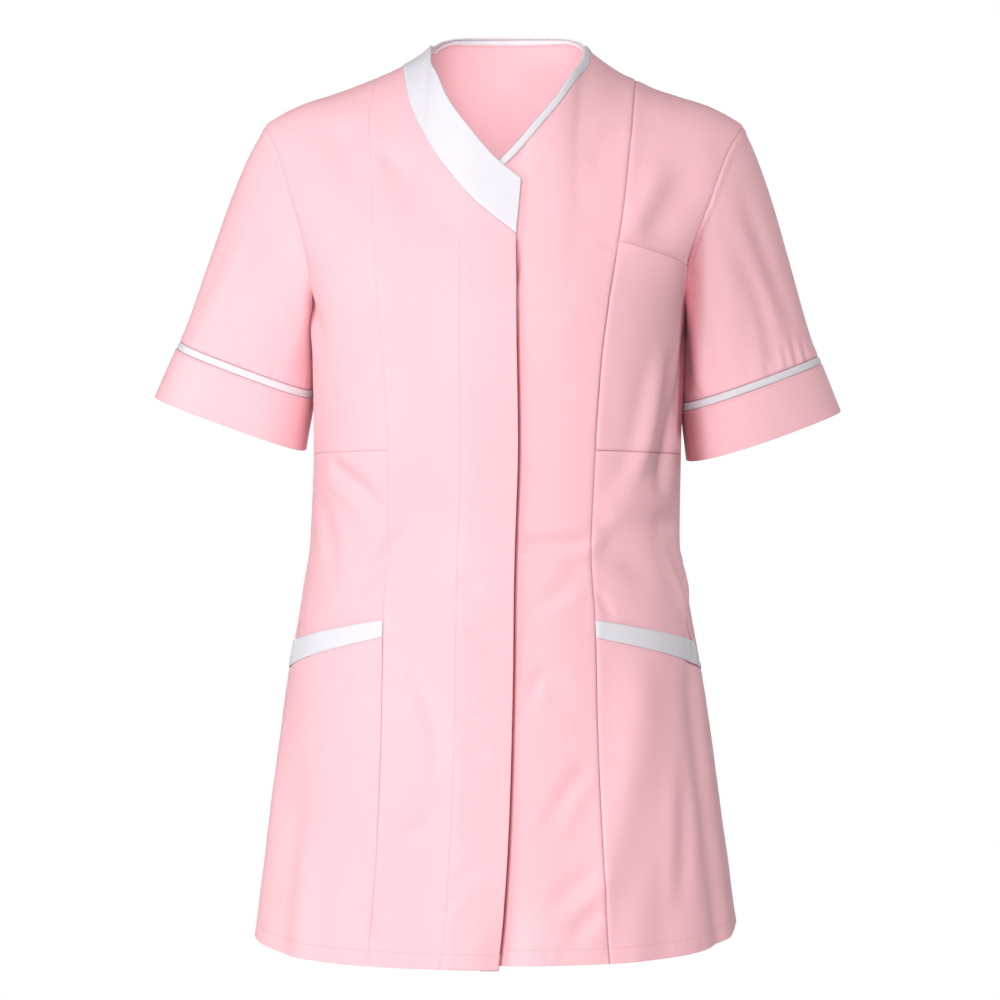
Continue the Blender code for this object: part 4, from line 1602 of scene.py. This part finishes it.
@dataclass
class SideFronts:
    """One side's upper and lower side front, with its pockets.

    Attributes:
        side: the wearer's side.
        step: the even step of the grids.
        width: of the grids.
        pocket: how far a pocket stands off the panel behind it.
        behind: how far that panel gives way.
        band: how far the hip pocket's band stands proud.
        gape: how far the chest pocket's mouth stands open.
        mouth: how far below its edge it does so.
        held: how far from the princess seam and from the side it is held shut.
        flat_side: how far from the side the chest pocket lies flat.
        foot_stitches: how far from the chest pocket's foot its stitches run.
        band_stitches: the same from the low and the high edge of the hip pocket's band.
        bar: the length of the upright row of stitches at the end of that mouth.
        bar_in: how far from the side that row is.
        mouth_give: how far below the chest pocket's mouth the panel behind gives way.
        band_give: the same below the top of the hip pocket's band.
        shaded: how deep the painted shade is under the arm and under the band's end.
        under_band: how far below the band its painted shade dies away.
        band_end: how far from the side it does so.
        arm_top: how far below the origin the painted shade under the arm comes in.
        arm_foot: the levels between which it dies away.
        arm_in: how far from the side it dies away.
        crumple: how far from the side the hip pocket's band is crumpled.
        calm: how far from the side it is calm again.
    """

    side: Side
    step: float = 3.0
    width: float = 125.0
    pocket: float = 0.75
    behind: float = -0.95
    band: float = 1.05
    gape: float = 1.3
    mouth: float = 13.0
    held: Pair = (14.0, 30.0)
    flat_side: float = 22.0
    foot_stitches: float = 1.4
    band_stitches: Pair = (1.6, 1.8)
    bar: float = 12.0
    bar_in: float = 21.0
    mouth_give: Fade = Fade(-6, 14)
    band_give: Fade = Fade(-4, 10)
    shaded: float = 0.0
    under_band: Fade = Fade(0.9, 1.6)
    band_end: Fade = Fade(30, 20)
    arm_top: Fade = Fade(186, 20)
    arm_foot: Fade = Fade(-326, 16)
    arm_in: Fade = Fade(3, 3.5)
    crumple: float = 16.0
    calm: float = 5.0

    def __post_init__(self) -> None:
        """Tell the princess seam's edge from the side seam's."""
        edges = Edge.LEFT, Edge.RIGHT
        self.inner, self.outer = edges if self.side is Side.LEFT else edges[::-1]

    def _panel(
        self, low: str | None, high: str | None, work: tuple[SeamWork, SeamWork], seed: float
    ) -> Panel:
        """A panel between the princess seam and the side.

        Args:
            low: the line that it starts from, or None for the hem.
            high: the line that it ends at, or None for the shoulder.
            work: how its low and high edges are made.
            seed: shifts its puckers.

        Returns:
            The panel.
        """
        side, sign = self.side, self.side.value
        start, end = PATTERN.lines.get(low, (None, None)), PATTERN.lines.get(high, (None, None))
        inner = PATTERN.seam(side, start[0], end[0])
        if high in (None, "pocket_mouth"):
            outer = [PATTERN.side(side, start[1]), PATTERN.armhole_edge(side, high=end[1])[1:]]
            outer = np.concatenate(outer)
        else:
            outer = PATTERN.side(side, start[1], end[1])
        left, right = (inner, outer) if sign > 0 else (outer, inner)
        share = np.linspace(0, 1, PATTERN.straight)[:, None]
        low_edge = left[0] * (1 - share) + right[0] * share
        high_edge = left[-1] * (1 - share) + right[-1] * share
        if low is None:
            low_edge = PATTERN.hem_between(left[0], right[0], side.word)
        if high is None:
            ends = sign * PATTERN.princess_shoulder, sign * PATTERN.shoulder_tip
            high_edge = PATTERN.ridge(*ends)[::sign]
        height = abs(inner[-1, 1] - inner[0, 1])
        rows = spaced(height, self.step, start=FINE if low else HEM_ROWS)
        columns = spaced(self.width, self.step)
        places = stretched(left, right, low_edge, high_edge, rows, columns)
        edges = {self.inner: PRINCESS[side], self.outer: EASY_SEAM}
        return on_form(places, {**edges, Edge.LOW: work[0], Edge.HIGH: work[1]}, seed)

    def build(self) -> list[Piece]:
        """Make the side fronts and their pockets.

        Returns:
            The pieces.
        """
        lines, side = PATTERN.lines, self.side
        pink_lines, pieces = [], []

        upper = self._panel("under_bust", None, (EASY_SEAM, EASY_SEAM), 2.0)
        if side is Side.LEFT:
            pieces.append(self._chest_pocket(pink_lines))
            below = lines["pocket_mouth"][0] - upper.level
            upper.raise_by(self.behind * self.mouth_give.up(below))
        # painted shade under the arm
        upper.shade = self._underarm_shade(upper)
        pieces.append(UPPER_SIDE.made(upper.work_edges(), side))

        pocket = self._panel(None, "band_bottom", (HEM, EASY_SEAM), 4.0)
        pocket.raise_by(self.pocket * pocket.rows / pocket.rows[-1:])
        # painted shadow under the outer end of the pocket's band
        near = self.under_band.down(pocket.away[Edge.HIGH])
        pocket.shade = self.shaded * near * self.band_end.down(pocket.away[self.outer])
        pink_lines.append(pocket.work_edges().line(Edge.LOW, HEM.stitched))
        pieces.append(HIP_POCKET.made(pocket, side))

        lower = self._panel("pocket_bottom", "under_bust", (FREE, EASY_SEAM), 3.0)
        below = lines["band_top"][0] - lower.level
        lower.raise_by(self.behind * self.band_give.up(below))
        pieces.append(LOWER_SIDE.made(lower.work_edges(), side))

        work = SeamWork(sewn=0.5), SeamWork(folded=8)
        band = self._panel("band_bottom", "band_top", work, 6.0)
        self._crumple(band)
        band.raise_by(self.band).work_edges()
        edges = zip((Edge.LOW, Edge.HIGH), self.band_stitches)
        white_lines = [band.line(edge, away) for edge, away in edges]
        pieces.append(POCKET_BAND.made(band, side))

        pink = Stitching(f"side_front_stitches_{side.word}", PINK_THREAD)
        white = Stitching(f"pocket_band_stitches_{side.word}", WHITE_THREAD, thickness=0.34)
        return pieces + [pink.make(pink_lines), white.make(white_lines)]

    def _underarm_shade(self, panel: Panel) -> Array:
        """The painted shade where the sleeve lies against the side, down to the seam under the bust.

        Args:
            panel: the cloth.

        Returns:
            How deep the shade is at each point.
        """
        inside = FORM.half_at(panel.level) - np.abs(panel.out)
        reach = self.arm_top.up(-panel.level) * self.arm_foot.up(panel.level)
        return self.shaded * reach * self.arm_in.down(inside)

    def _crumple(self, band: Panel) -> None:
        """Crumple the band's outer end, where it wraps round to the side seam.

        Args:
            band: the band.
        """
        away = band.away[self.outer]
        near = hump(away, self.crumple) * (1 - 0.85 * hump(away, self.calm))
        left = self.side is Side.LEFT
        height, puff, across, up = (1.2, 0.7, 0.5, 0.25) if left else (0.25, 1.6, 0.4, 0.15)
        band.raise_by(near * (height * np.sin(away * across + band.rows * up) + puff))

    def _chest_pocket(self, pink_lines: list[Line]) -> Piece:
        """The chest pocket, whose free mouth stands a little open.

        Args:
            pink_lines: gets the stitches of the mouth's hem and of the bar at its end.

        Returns:
            The piece.
        """
        work = EASY_SEAM, SeamWork(folded=14)
        pocket = self._panel("under_bust", "pocket_mouth", work, 5.0)
        # painted shade under the arm
        pocket.shade = self._underarm_shade(pocket)
        inward, outward = pocket.away[self.inner], pocket.away[self.outer]
        free = soft_step(inward / self.held[0]) * soft_step(outward / self.held[1])
        gape = self.gape * hump(pocket.away[Edge.HIGH], self.mouth) * free
        pocket.raise_by(self.pocket * soft_step(outward / self.flat_side) + gape)
        points, out = pocket.work_edges().line(self.outer, self.bar_in)
        top = points[:, 2] > points[-1, 2] - self.bar * MM
        pink_lines.extend([(points[top], out[top]), pocket.line(Edge.LOW, self.foot_stitches)])
        return CHEST_POCKET.made(pocket, self.side)


# ---- the back and the neck ----


@dataclass
class Back:
    """The back, in one piece from side seam to side seam.

    Attributes:
        step: the even step of the grid.
        length: of the grid.
        width: of the grid.
    """

    step: float = 3.3
    length: float = 720.0
    width: float = 500.0

    def build(self) -> list[Piece]:
        """Make the back.

        Returns:
            The pieces.
        """
        sides = []
        for side, whole_turn in ((Side.LEFT, 0), (Side.RIGHT, 360)):
            seam = PATTERN.side(side) + (whole_turn, 0)
            sides.append(np.concatenate([seam, PATTERN.armhole_edge(side, back=True)[1:]]))
        left, right = sides
        neck = PATTERN.nape(NeckTrims.binding_width)
        out = PATTERN.neck_shoulder + NeckTrims.binding_width * (1 - PATTERN.narrowing)
        first = PATTERN.ridge(PATTERN.shoulder_tip, out, back=True)
        last = PATTERN.ridge(-out, -PATTERN.shoulder_tip, back=True)
        high = np.concatenate([first, neck[1:-1], last])
        hem = PATTERN.hem_between(left[0], right[0], "back")
        rows, columns = spaced(self.length, self.step, start=HEM_ROWS), spaced(self.width, self.step)
        work = {Edge.LOW: HEM, Edge.LEFT: EASY_SEAM, Edge.RIGHT: EASY_SEAM, Edge.HIGH: EASY_SEAM}
        panel = on_form(stretched(left, right, hem, high, rows, columns), work, 7.0).work_edges()
        lines = [panel.line(Edge.LOW, HEM.stitched)]
        return [BACK.made(panel), Stitching("back_hem_stitches", PINK_THREAD).make(lines)]


@dataclass
class NeckTrims:
    """The wide band on the right front, and the binding of the left front and the back.

    Attributes:
        fronts: the fronts, which say how far the band is lifted over the lap.
        binding_width: how wide the binding shows.
        binding_round: how high it stands in its middle.
        band_proud: how far the band stands off the front.
        band_lap: how much further at the lap.
        band_size: the length and width of its grid.
        binding_length: of the binding's grid.
        step: the even step of the band's grid.
        stitches: how far from the band's low and high edges its stitches run.
    """

    fronts: CentreFronts
    binding_width: float = 6.5
    binding_round: float = 0.75
    band_proud: float = 0.55
    band_lap: float = 0.6
    band_size: Pair = (205, 34)
    binding_length: float = 345
    step: float = 2.2
    stitches: Pair = (1.5, 1.8)

    def build(self) -> list[Piece]:
        """Make the band and the binding.

        Returns:
            The pieces.
        """
        (length, width), fine = self.band_size, (0.25, 0.6, 1.2)
        edges = PATTERN.band(), PATTERN.neck(PATTERN.band_lowest)
        along = spaced(length, self.step)
        outer, inner = (resampled(np.stack(edge, axis=-1)[::-1], along) for edge in edges)
        share = spaced(width, self.step, start=fine, end=fine)[:, None, None]
        rows = outer * (1 - share) + inner * share
        rows[..., 1] = np.minimum(rows[..., 1], FORM.ridge_at(np.abs(rows[..., 0])))
        work = {
            Edge.LOW: SeamWork(sewn=0.6, pucker=0.16, spacing=11, reach=6),
            Edge.HIGH: SeamWork(folded=6),
            Edge.RIGHT: SeamWork(folded=6),
            Edge.LEFT: EASY_SEAM,
        }
        band = on_form(FORM.places(-rows[..., 0], rows[..., 1]), work, 8.0)
        band.raise_by(self.fronts.lap_lift(band, self.band_proud, self.band_lap)).work_edges()
        lines = [band.line(edge, away) for edge, away in zip((Edge.LOW, Edge.HIGH), self.stitches)]
        threads = Stitching("neck_band_stitches", WHITE_THREAD, thickness=0.34)
        return [NECK_BAND.made(band), threads.make(lines), self._binding()]

    def _binding(self) -> Piece:
        """The narrow binding, rounded over the cut edge.

        Returns:
            The piece.
        """
        rows, across, along = [], np.linspace(1, 0, 9), spaced(self.binding_length, 2.4)
        for aside in across * self.binding_width:
            front = FORM.places(*PATTERN.neck(PATTERN.binding_lowest, aside))
            line = np.concatenate([front, PATTERN.nape(aside)[1:]])
            rows.append(resampled(FORM.skin(line), along))
        panel = Panel(np.stack(rows), {Edge.HIGH: SeamWork(folded=4)}, 9.0)
        crown = 1 - (2 * across - 1) ** 2
        panel.raise_by(FORM.unevenness(panel.points))
        panel.raise_by((0.25 + self.binding_round * np.sqrt(crown))[:, None])
        return NECK_BINDING.made(panel.work_edges())


# ---- the sleeves ----


@dataclass(frozen=True)
class Ring:
    """A ring of a sleeve: its outer and inner ends in the front view, and its depth.

    Attributes:
        outer: X and level of the outer end.
        inner: X and level of the inner end.
        half_depth: from the middle to the front.
        behind: how far its middle lies behind the side seam.
        tilt: how much lower its front is than its back.
        flatness: below 1, how much flatter its front and back are than an oval's.
        skew: how much fuller it is next to the body.
    """

    outer: Pair
    inner: Pair
    half_depth: float
    behind: float
    tilt: float = 0.08
    flatness: float = 1.0
    skew: float = 0.0

    def points(self, angles: Array) -> Array:
        """Its points.

        Args:
            angles: in radians, 0 next to the body and a quarter turn at the front.

        Returns:
            Points in metres.
        """
        outer, inner = np.array(self.outer), np.array(self.inner)
        middle, arm = (outer + inner) / 2, (inner - outer) / 2
        waves = np.cos(angles), np.sin(angles)
        along, across = (np.sign(wave) * np.abs(wave) ** self.flatness for wave in waves)
        x, z = (middle[k] + arm[k] * along for k in (0, 1))
        forward = self.half_depth * across * (1 + self.skew * np.cos(angles))
        return np.stack([x, self.behind - forward, z - self.tilt * forward], axis=-1) * MM


@dataclass
class Sleeve:
    """A short set-in sleeve, its narrow trim and its turned-up cuff.

    Attributes:
        side: the wearer's side.
        cap_slope: how steeply the cap leaves the shoulder.
        trim_ring: where the sleeve meets its trim.
        cuff_ring: the cuff's lower edge.
        creases: its creases, as angle round it and share of the way down.
        underarm_slope: how steeply it leaves the underarm.
        fullness: how far it swells between its two ends.
        tuck: how far its edge lies in under the body's.
        shaded: how deep the painted shade is where it lies against the body.
        shade_fade: how far out it dies away.
        trim_width: how much of the trim shows.
        cuff_proud: how far the cuff stands off the sleeve's line.
        cuff_stitches: how far from its upper edge its stitches run.
        step: the even step of the grids.
        length: of the sleeve's grid.
        cuff_length: of the cuff's.
        round_count: the columns of each grid.
    """

    side: Side
    cap_slope: float
    trim_ring: Ring
    cuff_ring: Ring
    creases: tuple[Crease, ...]
    underarm_slope: float = 84.0
    fullness: float = 0.8
    tuck: float = 1.4
    shaded: float = 0.0
    shade_fade: Fade = Fade(4.5, 19)
    trim_width: float = 6.5
    cuff_proud: float = 1.35
    cuff_stitches: float = 1.8
    step: float = 3.0
    length: float = 200.0
    cuff_length: float = 46.0
    round_count: int = 131

    def __post_init__(self) -> None:
        """Measure the armhole, and lay the creases."""
        front = PATTERN.armhole_edge(self.side)
        rear = PATTERN.armhole_edge(self.side, back=True)[::-1]
        self.start = FORM.skin(np.concatenate([front, rear[1:]]))
        self.start[:, 0] -= self.side.value * self.tuck * MM
        run = run_length(self.start, 0)
        tip = len(front) - 1
        half = [math.pi * run[: tip + 1] / run[tip]]
        half.append(math.pi * (1 + (run[tip + 1 :] - run[tip]) / (run[-1] - run[tip])))
        self.start_angles = np.concatenate(half)
        self.laid = CreaseField(self.creases, lambda at: self.surface(np.radians(at[..., 0]), at[..., 1]))

    def surface(self, angles: Array, shares: Array) -> Array:
        """Points of the sleeve at angles round it and shares of the way to the trim.

        Args:
            angles: in radians.
            shares: from 0 at the armhole to 1 at the trim.

        Returns:
            Points in metres.
        """
        angles = np.mod(angles, 2 * math.pi)
        columns = [np.interp(angles, self.start_angles, column) for column in self.start.T]
        start = np.stack(columns, axis=-1)
        over = (1 - np.cos(angles)) / 2
        slope = np.radians(self.underarm_slope + (self.cap_slope - self.underarm_slope) * over)
        leave = np.stack([self.side.value * np.cos(slope), 0 * slope, -np.sin(slope)], axis=-1)
        end = self.trim_ring.points(angles)
        onward = unit(self.cuff_ring.points(angles) - end)
        reach = np.linalg.norm(end - start, axis=-1, keepdims=True) * self.fullness
        t = shares[..., None]
        tube = start * (1 - t * t * (3 - 2 * t)) + end * t * t * (3 - 2 * t)
        return tube + reach * t * (1 - t) * (leave * (1 - t) - onward * t)

    def build(self) -> list[Piece]:
        """Make the sleeve, its trim and its cuff.

        Returns:
            The pieces.
        """
        side, sign = self.side, self.side.value
        round_it, down = np.linspace(0, 2 * math.pi, self.round_count), spaced(self.length, self.step)
        points = self.surface(*np.broadcast_arrays(round_it[None], down[:, None]))
        head = SeamWork(sewn=0.9, bulge=0.9, pucker=0.3, spacing=16, reach=12)
        foot = SeamWork(sewn=0.8, bulge=0.3, pucker=0.45, spacing=9, reach=12)
        sleeve = self._tube(points, (head, foot), 11.0 + sign, (0.8, 0.3))

        end, cuff = self.trim_ring.points(round_it), self.cuff_ring.points(round_it)
        onward = unit(cuff - end)
        across = np.linspace(0, 1, 9)
        points = end[None] + onward[None] * (across * self.trim_width * MM)[:, None, None]
        crown = 0.3 + 0.8 * np.sqrt(1 - (2 * across - 1) ** 2)
        trim = self._tube(points, (FREE, FREE), 13.0, (0.3, 0.12), crown[:, None])

        top = end + onward * self.trim_width * MM
        share = spaced(self.cuff_length, self.step, end=(0.25, 0.6, 1.2, 2.2, 4))[:, None, None]
        points = top[None] * (1 - share) + cuff[None] * share
        work = SeamWork(sewn=0.5, pucker=0.1), SeamWork(folded=10)
        turned = self._tube(points, work, 17.0 + sign, (0.5, 0.2), self.cuff_proud)
        lines = [turned.line(Edge.LOW, self.cuff_stitches)]
        sheets = (SLEEVE, sleeve), (SLEEVE_TRIM, trim), (CUFF, turned)
        pieces = [sheet.made(panel, side, closed=True) for sheet, panel in sheets]
        return pieces + [Stitching(f"cuff_stitches_{side.word}", PINK_THREAD).make(lines)]

    def _tube(
        self,
        points: Array,
        work: tuple[SeamWork, SeamWork],
        seed: float,
        waves: Pair,
        height: Array | float = 0.0,
    ) -> Panel:
        """A tube of cloth whose rows run down the arm.

        Args:
            points: its smooth points.
            work: how its upper and lower ends are made.
            seed: shifts its puckers.
            waves: the height of its slow waves and of the finer ones.
            height: how far it stands proud.

        Returns:
            The panel.
        """
        points = points[:, ::-1] if self.side is Side.LEFT else points
        wrapped = np.concatenate([points[:, [-2]], points, points[:, [1]]], axis=1)
        panel = Panel(wrapped, {Edge.LOW: work[0], Edge.HIGH: work[1]}, seed)
        panel.raise_by(self.laid.push(wrapped, panel.normals) + uneven(wrapped, waves, seed) + height)
        aside = self.side.value * wrapped[..., 0] / MM
        inside = aside - aside.min(axis=1, keepdims=True)
        # painted shade on the side that lies against the body
        panel.shade = self.shaded * self.shade_fade.down(inside)
        panel.work_edges()
        for name in ("points", "normals", "seam", "columns", "rows"):
            setattr(panel, name, getattr(panel, name)[:, 1:-1])
        panel.away = {edge: gaps[:, 1:-1] for edge, gaps in panel.away.items()}
        panel.points[:, -1] = panel.points[:, 0]
        return panel


LEFT_SLEEVE_CREASES = creased(
    (((58, 0.08), (48, 0.5), (42, 1.0)), 7, -1.7, 0.3, (0.3, 0.2)),
    (((80, 0.3), (70, 0.62), (64, 1.0)), 7, 1.3, 0.4, (0.5, 0.1)),
    (((98, 0.22), (96, 0.5), (90, 0.8)), 7, -0.9),
    (((112, 0.3), (118, 0.6), (110, 1.0)), 7, 1.2, 0.5, (0.5, 0.1)),
    (((142, 0.1), (140, 0.5), (147, 0.92)), 9, 1.6, 0.4),
    (((126, 0.84), (124, 1.0)), 3, 1.0, 0.7, (0.6, 0)),
    (((138, 0.8), (133, 1.0)), 3.2, 1.1, 0.7, (0.6, 0)),
    (((150, 0.86), (146, 1.0)), 2.8, 0.9, 0.7, (0.6, 0)),
    (((104, 0.88), (106, 1.0)), 3, 0.7, 0.7, (0.6, 0)),
    (((20, 0.15), (26, 0.55), (22, 0.95)), 8, 1.4),
    (((200, 0.2), (215, 0.55), (222, 0.95)), 10, 1.5, 0.4),
    (((252, 0.15), (258, 0.6), (250, 1.0)), 9, 1.4, 0.4, (0.4, 0.1)),
    (((290, 0.1), (300, 0.5), (296, 0.95)), 9, 1.5),
    (((232, 0.8), (236, 1.0)), 3, 0.8, 0.7, (0.6, 0)),
    (((330, 0.1), (336, 0.5), (330, 0.9)), 8, 1.2),
)
RIGHT_SLEEVE_CREASES = creased(
    (((52, 0.2), (60, 0.55), (66, 0.95)), 9, 0.9, 0.4),
    (((88, 0.25), (92, 0.6), (86, 1.0)), 8, -0.7, 0.3, (0.5, 0.1)),
    (((116, 0.15), (112, 0.5), (118, 0.95)), 9, 0.9, 0.4),
    (((146, 0.3), (150, 0.65), (146, 1.0)), 9, 0.9, 0.3, (0.5, 0.1)),
    (((28, 0.1), (34, 0.5), (30, 0.9)), 8, 1.1),
    (((205, 0.2), (216, 0.6), (220, 1.0)), 10, 1.4, 0.4, (0.5, 0.1)),
    (((248, 0.15), (256, 0.55), (252, 0.95)), 9, 1.3, 0.4),
    (((292, 0.1), (302, 0.5), (298, 0.95)), 9, 1.5),
    (((334, 0.1), (338, 0.5), (332, 0.9)), 8, 1.2),
    (((70, 0.86), (72, 1.0)), 3, 0.5, 0.7, (0.6, 0)),
    (((128, 0.88), (126, 1.0)), 3, 0.5, 0.7, (0.6, 0)),
    (((238, 0.82), (240, 1.0)), 3, 0.7, 0.7, (0.6, 0)),
)


# ---- the studio ----


@dataclass
class Studio:
    """The pale floor, the soft lights and the camera, placed in metres.

    Attributes:
        floor_level: far below the view.
        floor_radius: of the floor.
        camera_distance: from the tunic's middle.
        camera_level: the camera's height, looking level.
        camera_middle: how far the view's middle lies to the wearer's left.
        camera_turn: how far it stands round to the wearer's left.
        lens: its focal length.
        middle: the place that the lamps face.
        inside: the place of the weak lamp inside the neck, which lights the back's inside.
        inside_way: the way that it faces.
        inside_power: its power.
        ambient: the strength of the light from all round.
        lamps: name, place, size and power of each soft light.
    """

    floor_level: float = -1.2
    floor_radius: float = 2.2
    camera_distance: float = 3.0
    camera_level: float = -0.3689
    camera_middle: float = -0.0073
    camera_turn: float = 2.5
    lens: float = 132.9
    middle: Triple = (0.0, 0.0, -0.37)
    inside: Triple = (0.0, -0.02, -0.045)
    inside_way: Triple = (0.0, 1.0, 0.5)
    inside_power: float = 0.038
    ambient: float = 0.02
    lamps: tuple[tuple[str, Triple, float, float], ...] = (
        ("side_key", (-2.6, -1.3, 0.15), 1.2, 42.0),
        ("front_key", (-1.2, -2.6, 0.6), 1.2, 8.0),
        ("front", (0.0, -3.3, 0.8), 1.8, 91.0),
        ("front_high", (0.0, -2.5, 2.0), 1.4, 15.0),
        ("fill", (1.5, -2.7, 0.5), 1.2, 7.0),
        ("back_key", (1.9, 2.3, 0.6), 1.2, 34.0),
        ("back", (-0.4, 3.3, 0.2), 1.8, 66.0),
    )

    def build(self) -> None:
        """Set the stage."""
        self._floor()
        for name, place, size, power in self.lamps:
            self._lamp(name, place, Vector(self.middle) - Vector(place), size, power)
        self._lamp("inside", self.inside, Vector(self.inside_way), 0.1, self.inside_power)
        self._world()
        self._camera()
        bpy.context.scene.view_settings.view_transform = "Standard"

    def _floor(self) -> None:
        """A round pale floor, far below the view."""
        mesh = bmesh.new()
        place, radius = Matrix.Translation((0, 0, self.floor_level)), self.floor_radius
        bmesh.ops.create_circle(mesh, cap_ends=True, radius=radius, segments=96, matrix=place)
        data = bpy.data.meshes.new("floor")
        mesh.to_mesh(data)
        mesh.free()
        material = bpy.data.materials.new("pale_floor")
        material.use_nodes = True
        nodes = Nodes(material.node_tree)
        rough = nodes.solid_noise(30, 4) * 0.15 + 0.6
        values = {"Roughness": rough, "Base Color": (0.86, 0.86, 0.86, 1)}
        nodes.feed(material.node_tree.nodes["Principled BSDF"], values)
        data.materials.append(material)
        floor = bpy.data.objects.new("floor", data)
        bpy.context.scene.collection.objects.link(floor)

    @staticmethod
    def _lamp(name: str, place: Triple, way: Vector, size: float, power: float) -> None:
        """One soft round lamp.

        Args:
            name: its name.
            place: where it stands.
            way: the way it faces.
            size: how wide it is.
            power: in watts.
        """
        lamp = bpy.data.lights.new(name, "AREA")
        lamp.shape, lamp.size, lamp.energy = "DISK", size, power
        holder = bpy.data.objects.new(name, lamp)
        holder.location = place
        holder.rotation_euler = way.to_track_quat("-Z", "Y").to_euler()
        holder.visible_camera = False
        bpy.context.scene.collection.objects.link(holder)

    def _world(self) -> None:
        """A little light from all round, and white behind the tunic."""
        world = bpy.data.worlds.new("studio")
        bpy.context.scene.world = world
        world.use_nodes = True
        world.node_tree.nodes.clear()
        nodes = Nodes(world.node_tree)
        seen = nodes.add("LightPath", {}, "Is Camera Ray")
        soft = nodes.add("Background", {"Color": (1, 1, 1, 1), "Strength": self.ambient})
        white = nodes.add("Background", {"Color": (1, 1, 1, 1)})
        out = nodes.tree.nodes.new("ShaderNodeOutputWorld")
        nodes.feed(out, {"Surface": nodes.add("MixShader", {0: seen, 1: soft, 2: white})})

    def _camera(self) -> None:
        """The camera at the photograph's angle."""
        turn = math.radians(self.camera_turn)
        camera = bpy.data.cameras.new("camera")
        camera.lens = self.lens
        holder = bpy.data.objects.new("camera", camera)
        x = self.camera_middle + self.camera_distance * math.sin(turn)
        holder.location = (x, -self.camera_distance * math.cos(turn), self.camera_level)
        holder.rotation_euler = (math.pi / 2, 0, turn)
        bpy.context.scene.collection.objects.link(holder)
        bpy.context.scene.camera = holder


def main() -> None:
    """Build the tunic's pieces in order, then the studio."""
    logging.basicConfig(level=logging.INFO, format="%(message)s")
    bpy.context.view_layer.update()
    fronts = CentreFronts()
    parts = (
        fronts,
        SideFronts(Side.RIGHT),
        # painted shade under the left arm and under the left band's end
        SideFronts(Side.LEFT, shaded=0.9),
        Back(),
        NeckTrims(fronts),
        Sleeve(
            Side.RIGHT,
            53,
            Ring((-269.5, -238), (-160.5, -279), 50, 22, flatness=0.72),
            Ring((-290, -284), (-169.5, -328), 53, 24, tilt=0.05, flatness=0.72),
            RIGHT_SLEEVE_CREASES,
        ),
        Sleeve(
            Side.LEFT,
            60,
            Ring((251, -252), (140.0, -290), 50, 22, skew=0.34),
            Ring((269, -297), (145.2, -336), 54, 24, tilt=0.11, skew=0.34),
            LEFT_SLEEVE_CREASES,
            # painted shade where the left sleeve lies against the body
            shaded=0.72,
        ),
    )
    for part in parts:
        for piece in part.build():
            LOG.info("%s: %d faces", piece.name, len(piece.data.polygons))
    Studio().build()


if __name__ == "__main__":
    main()
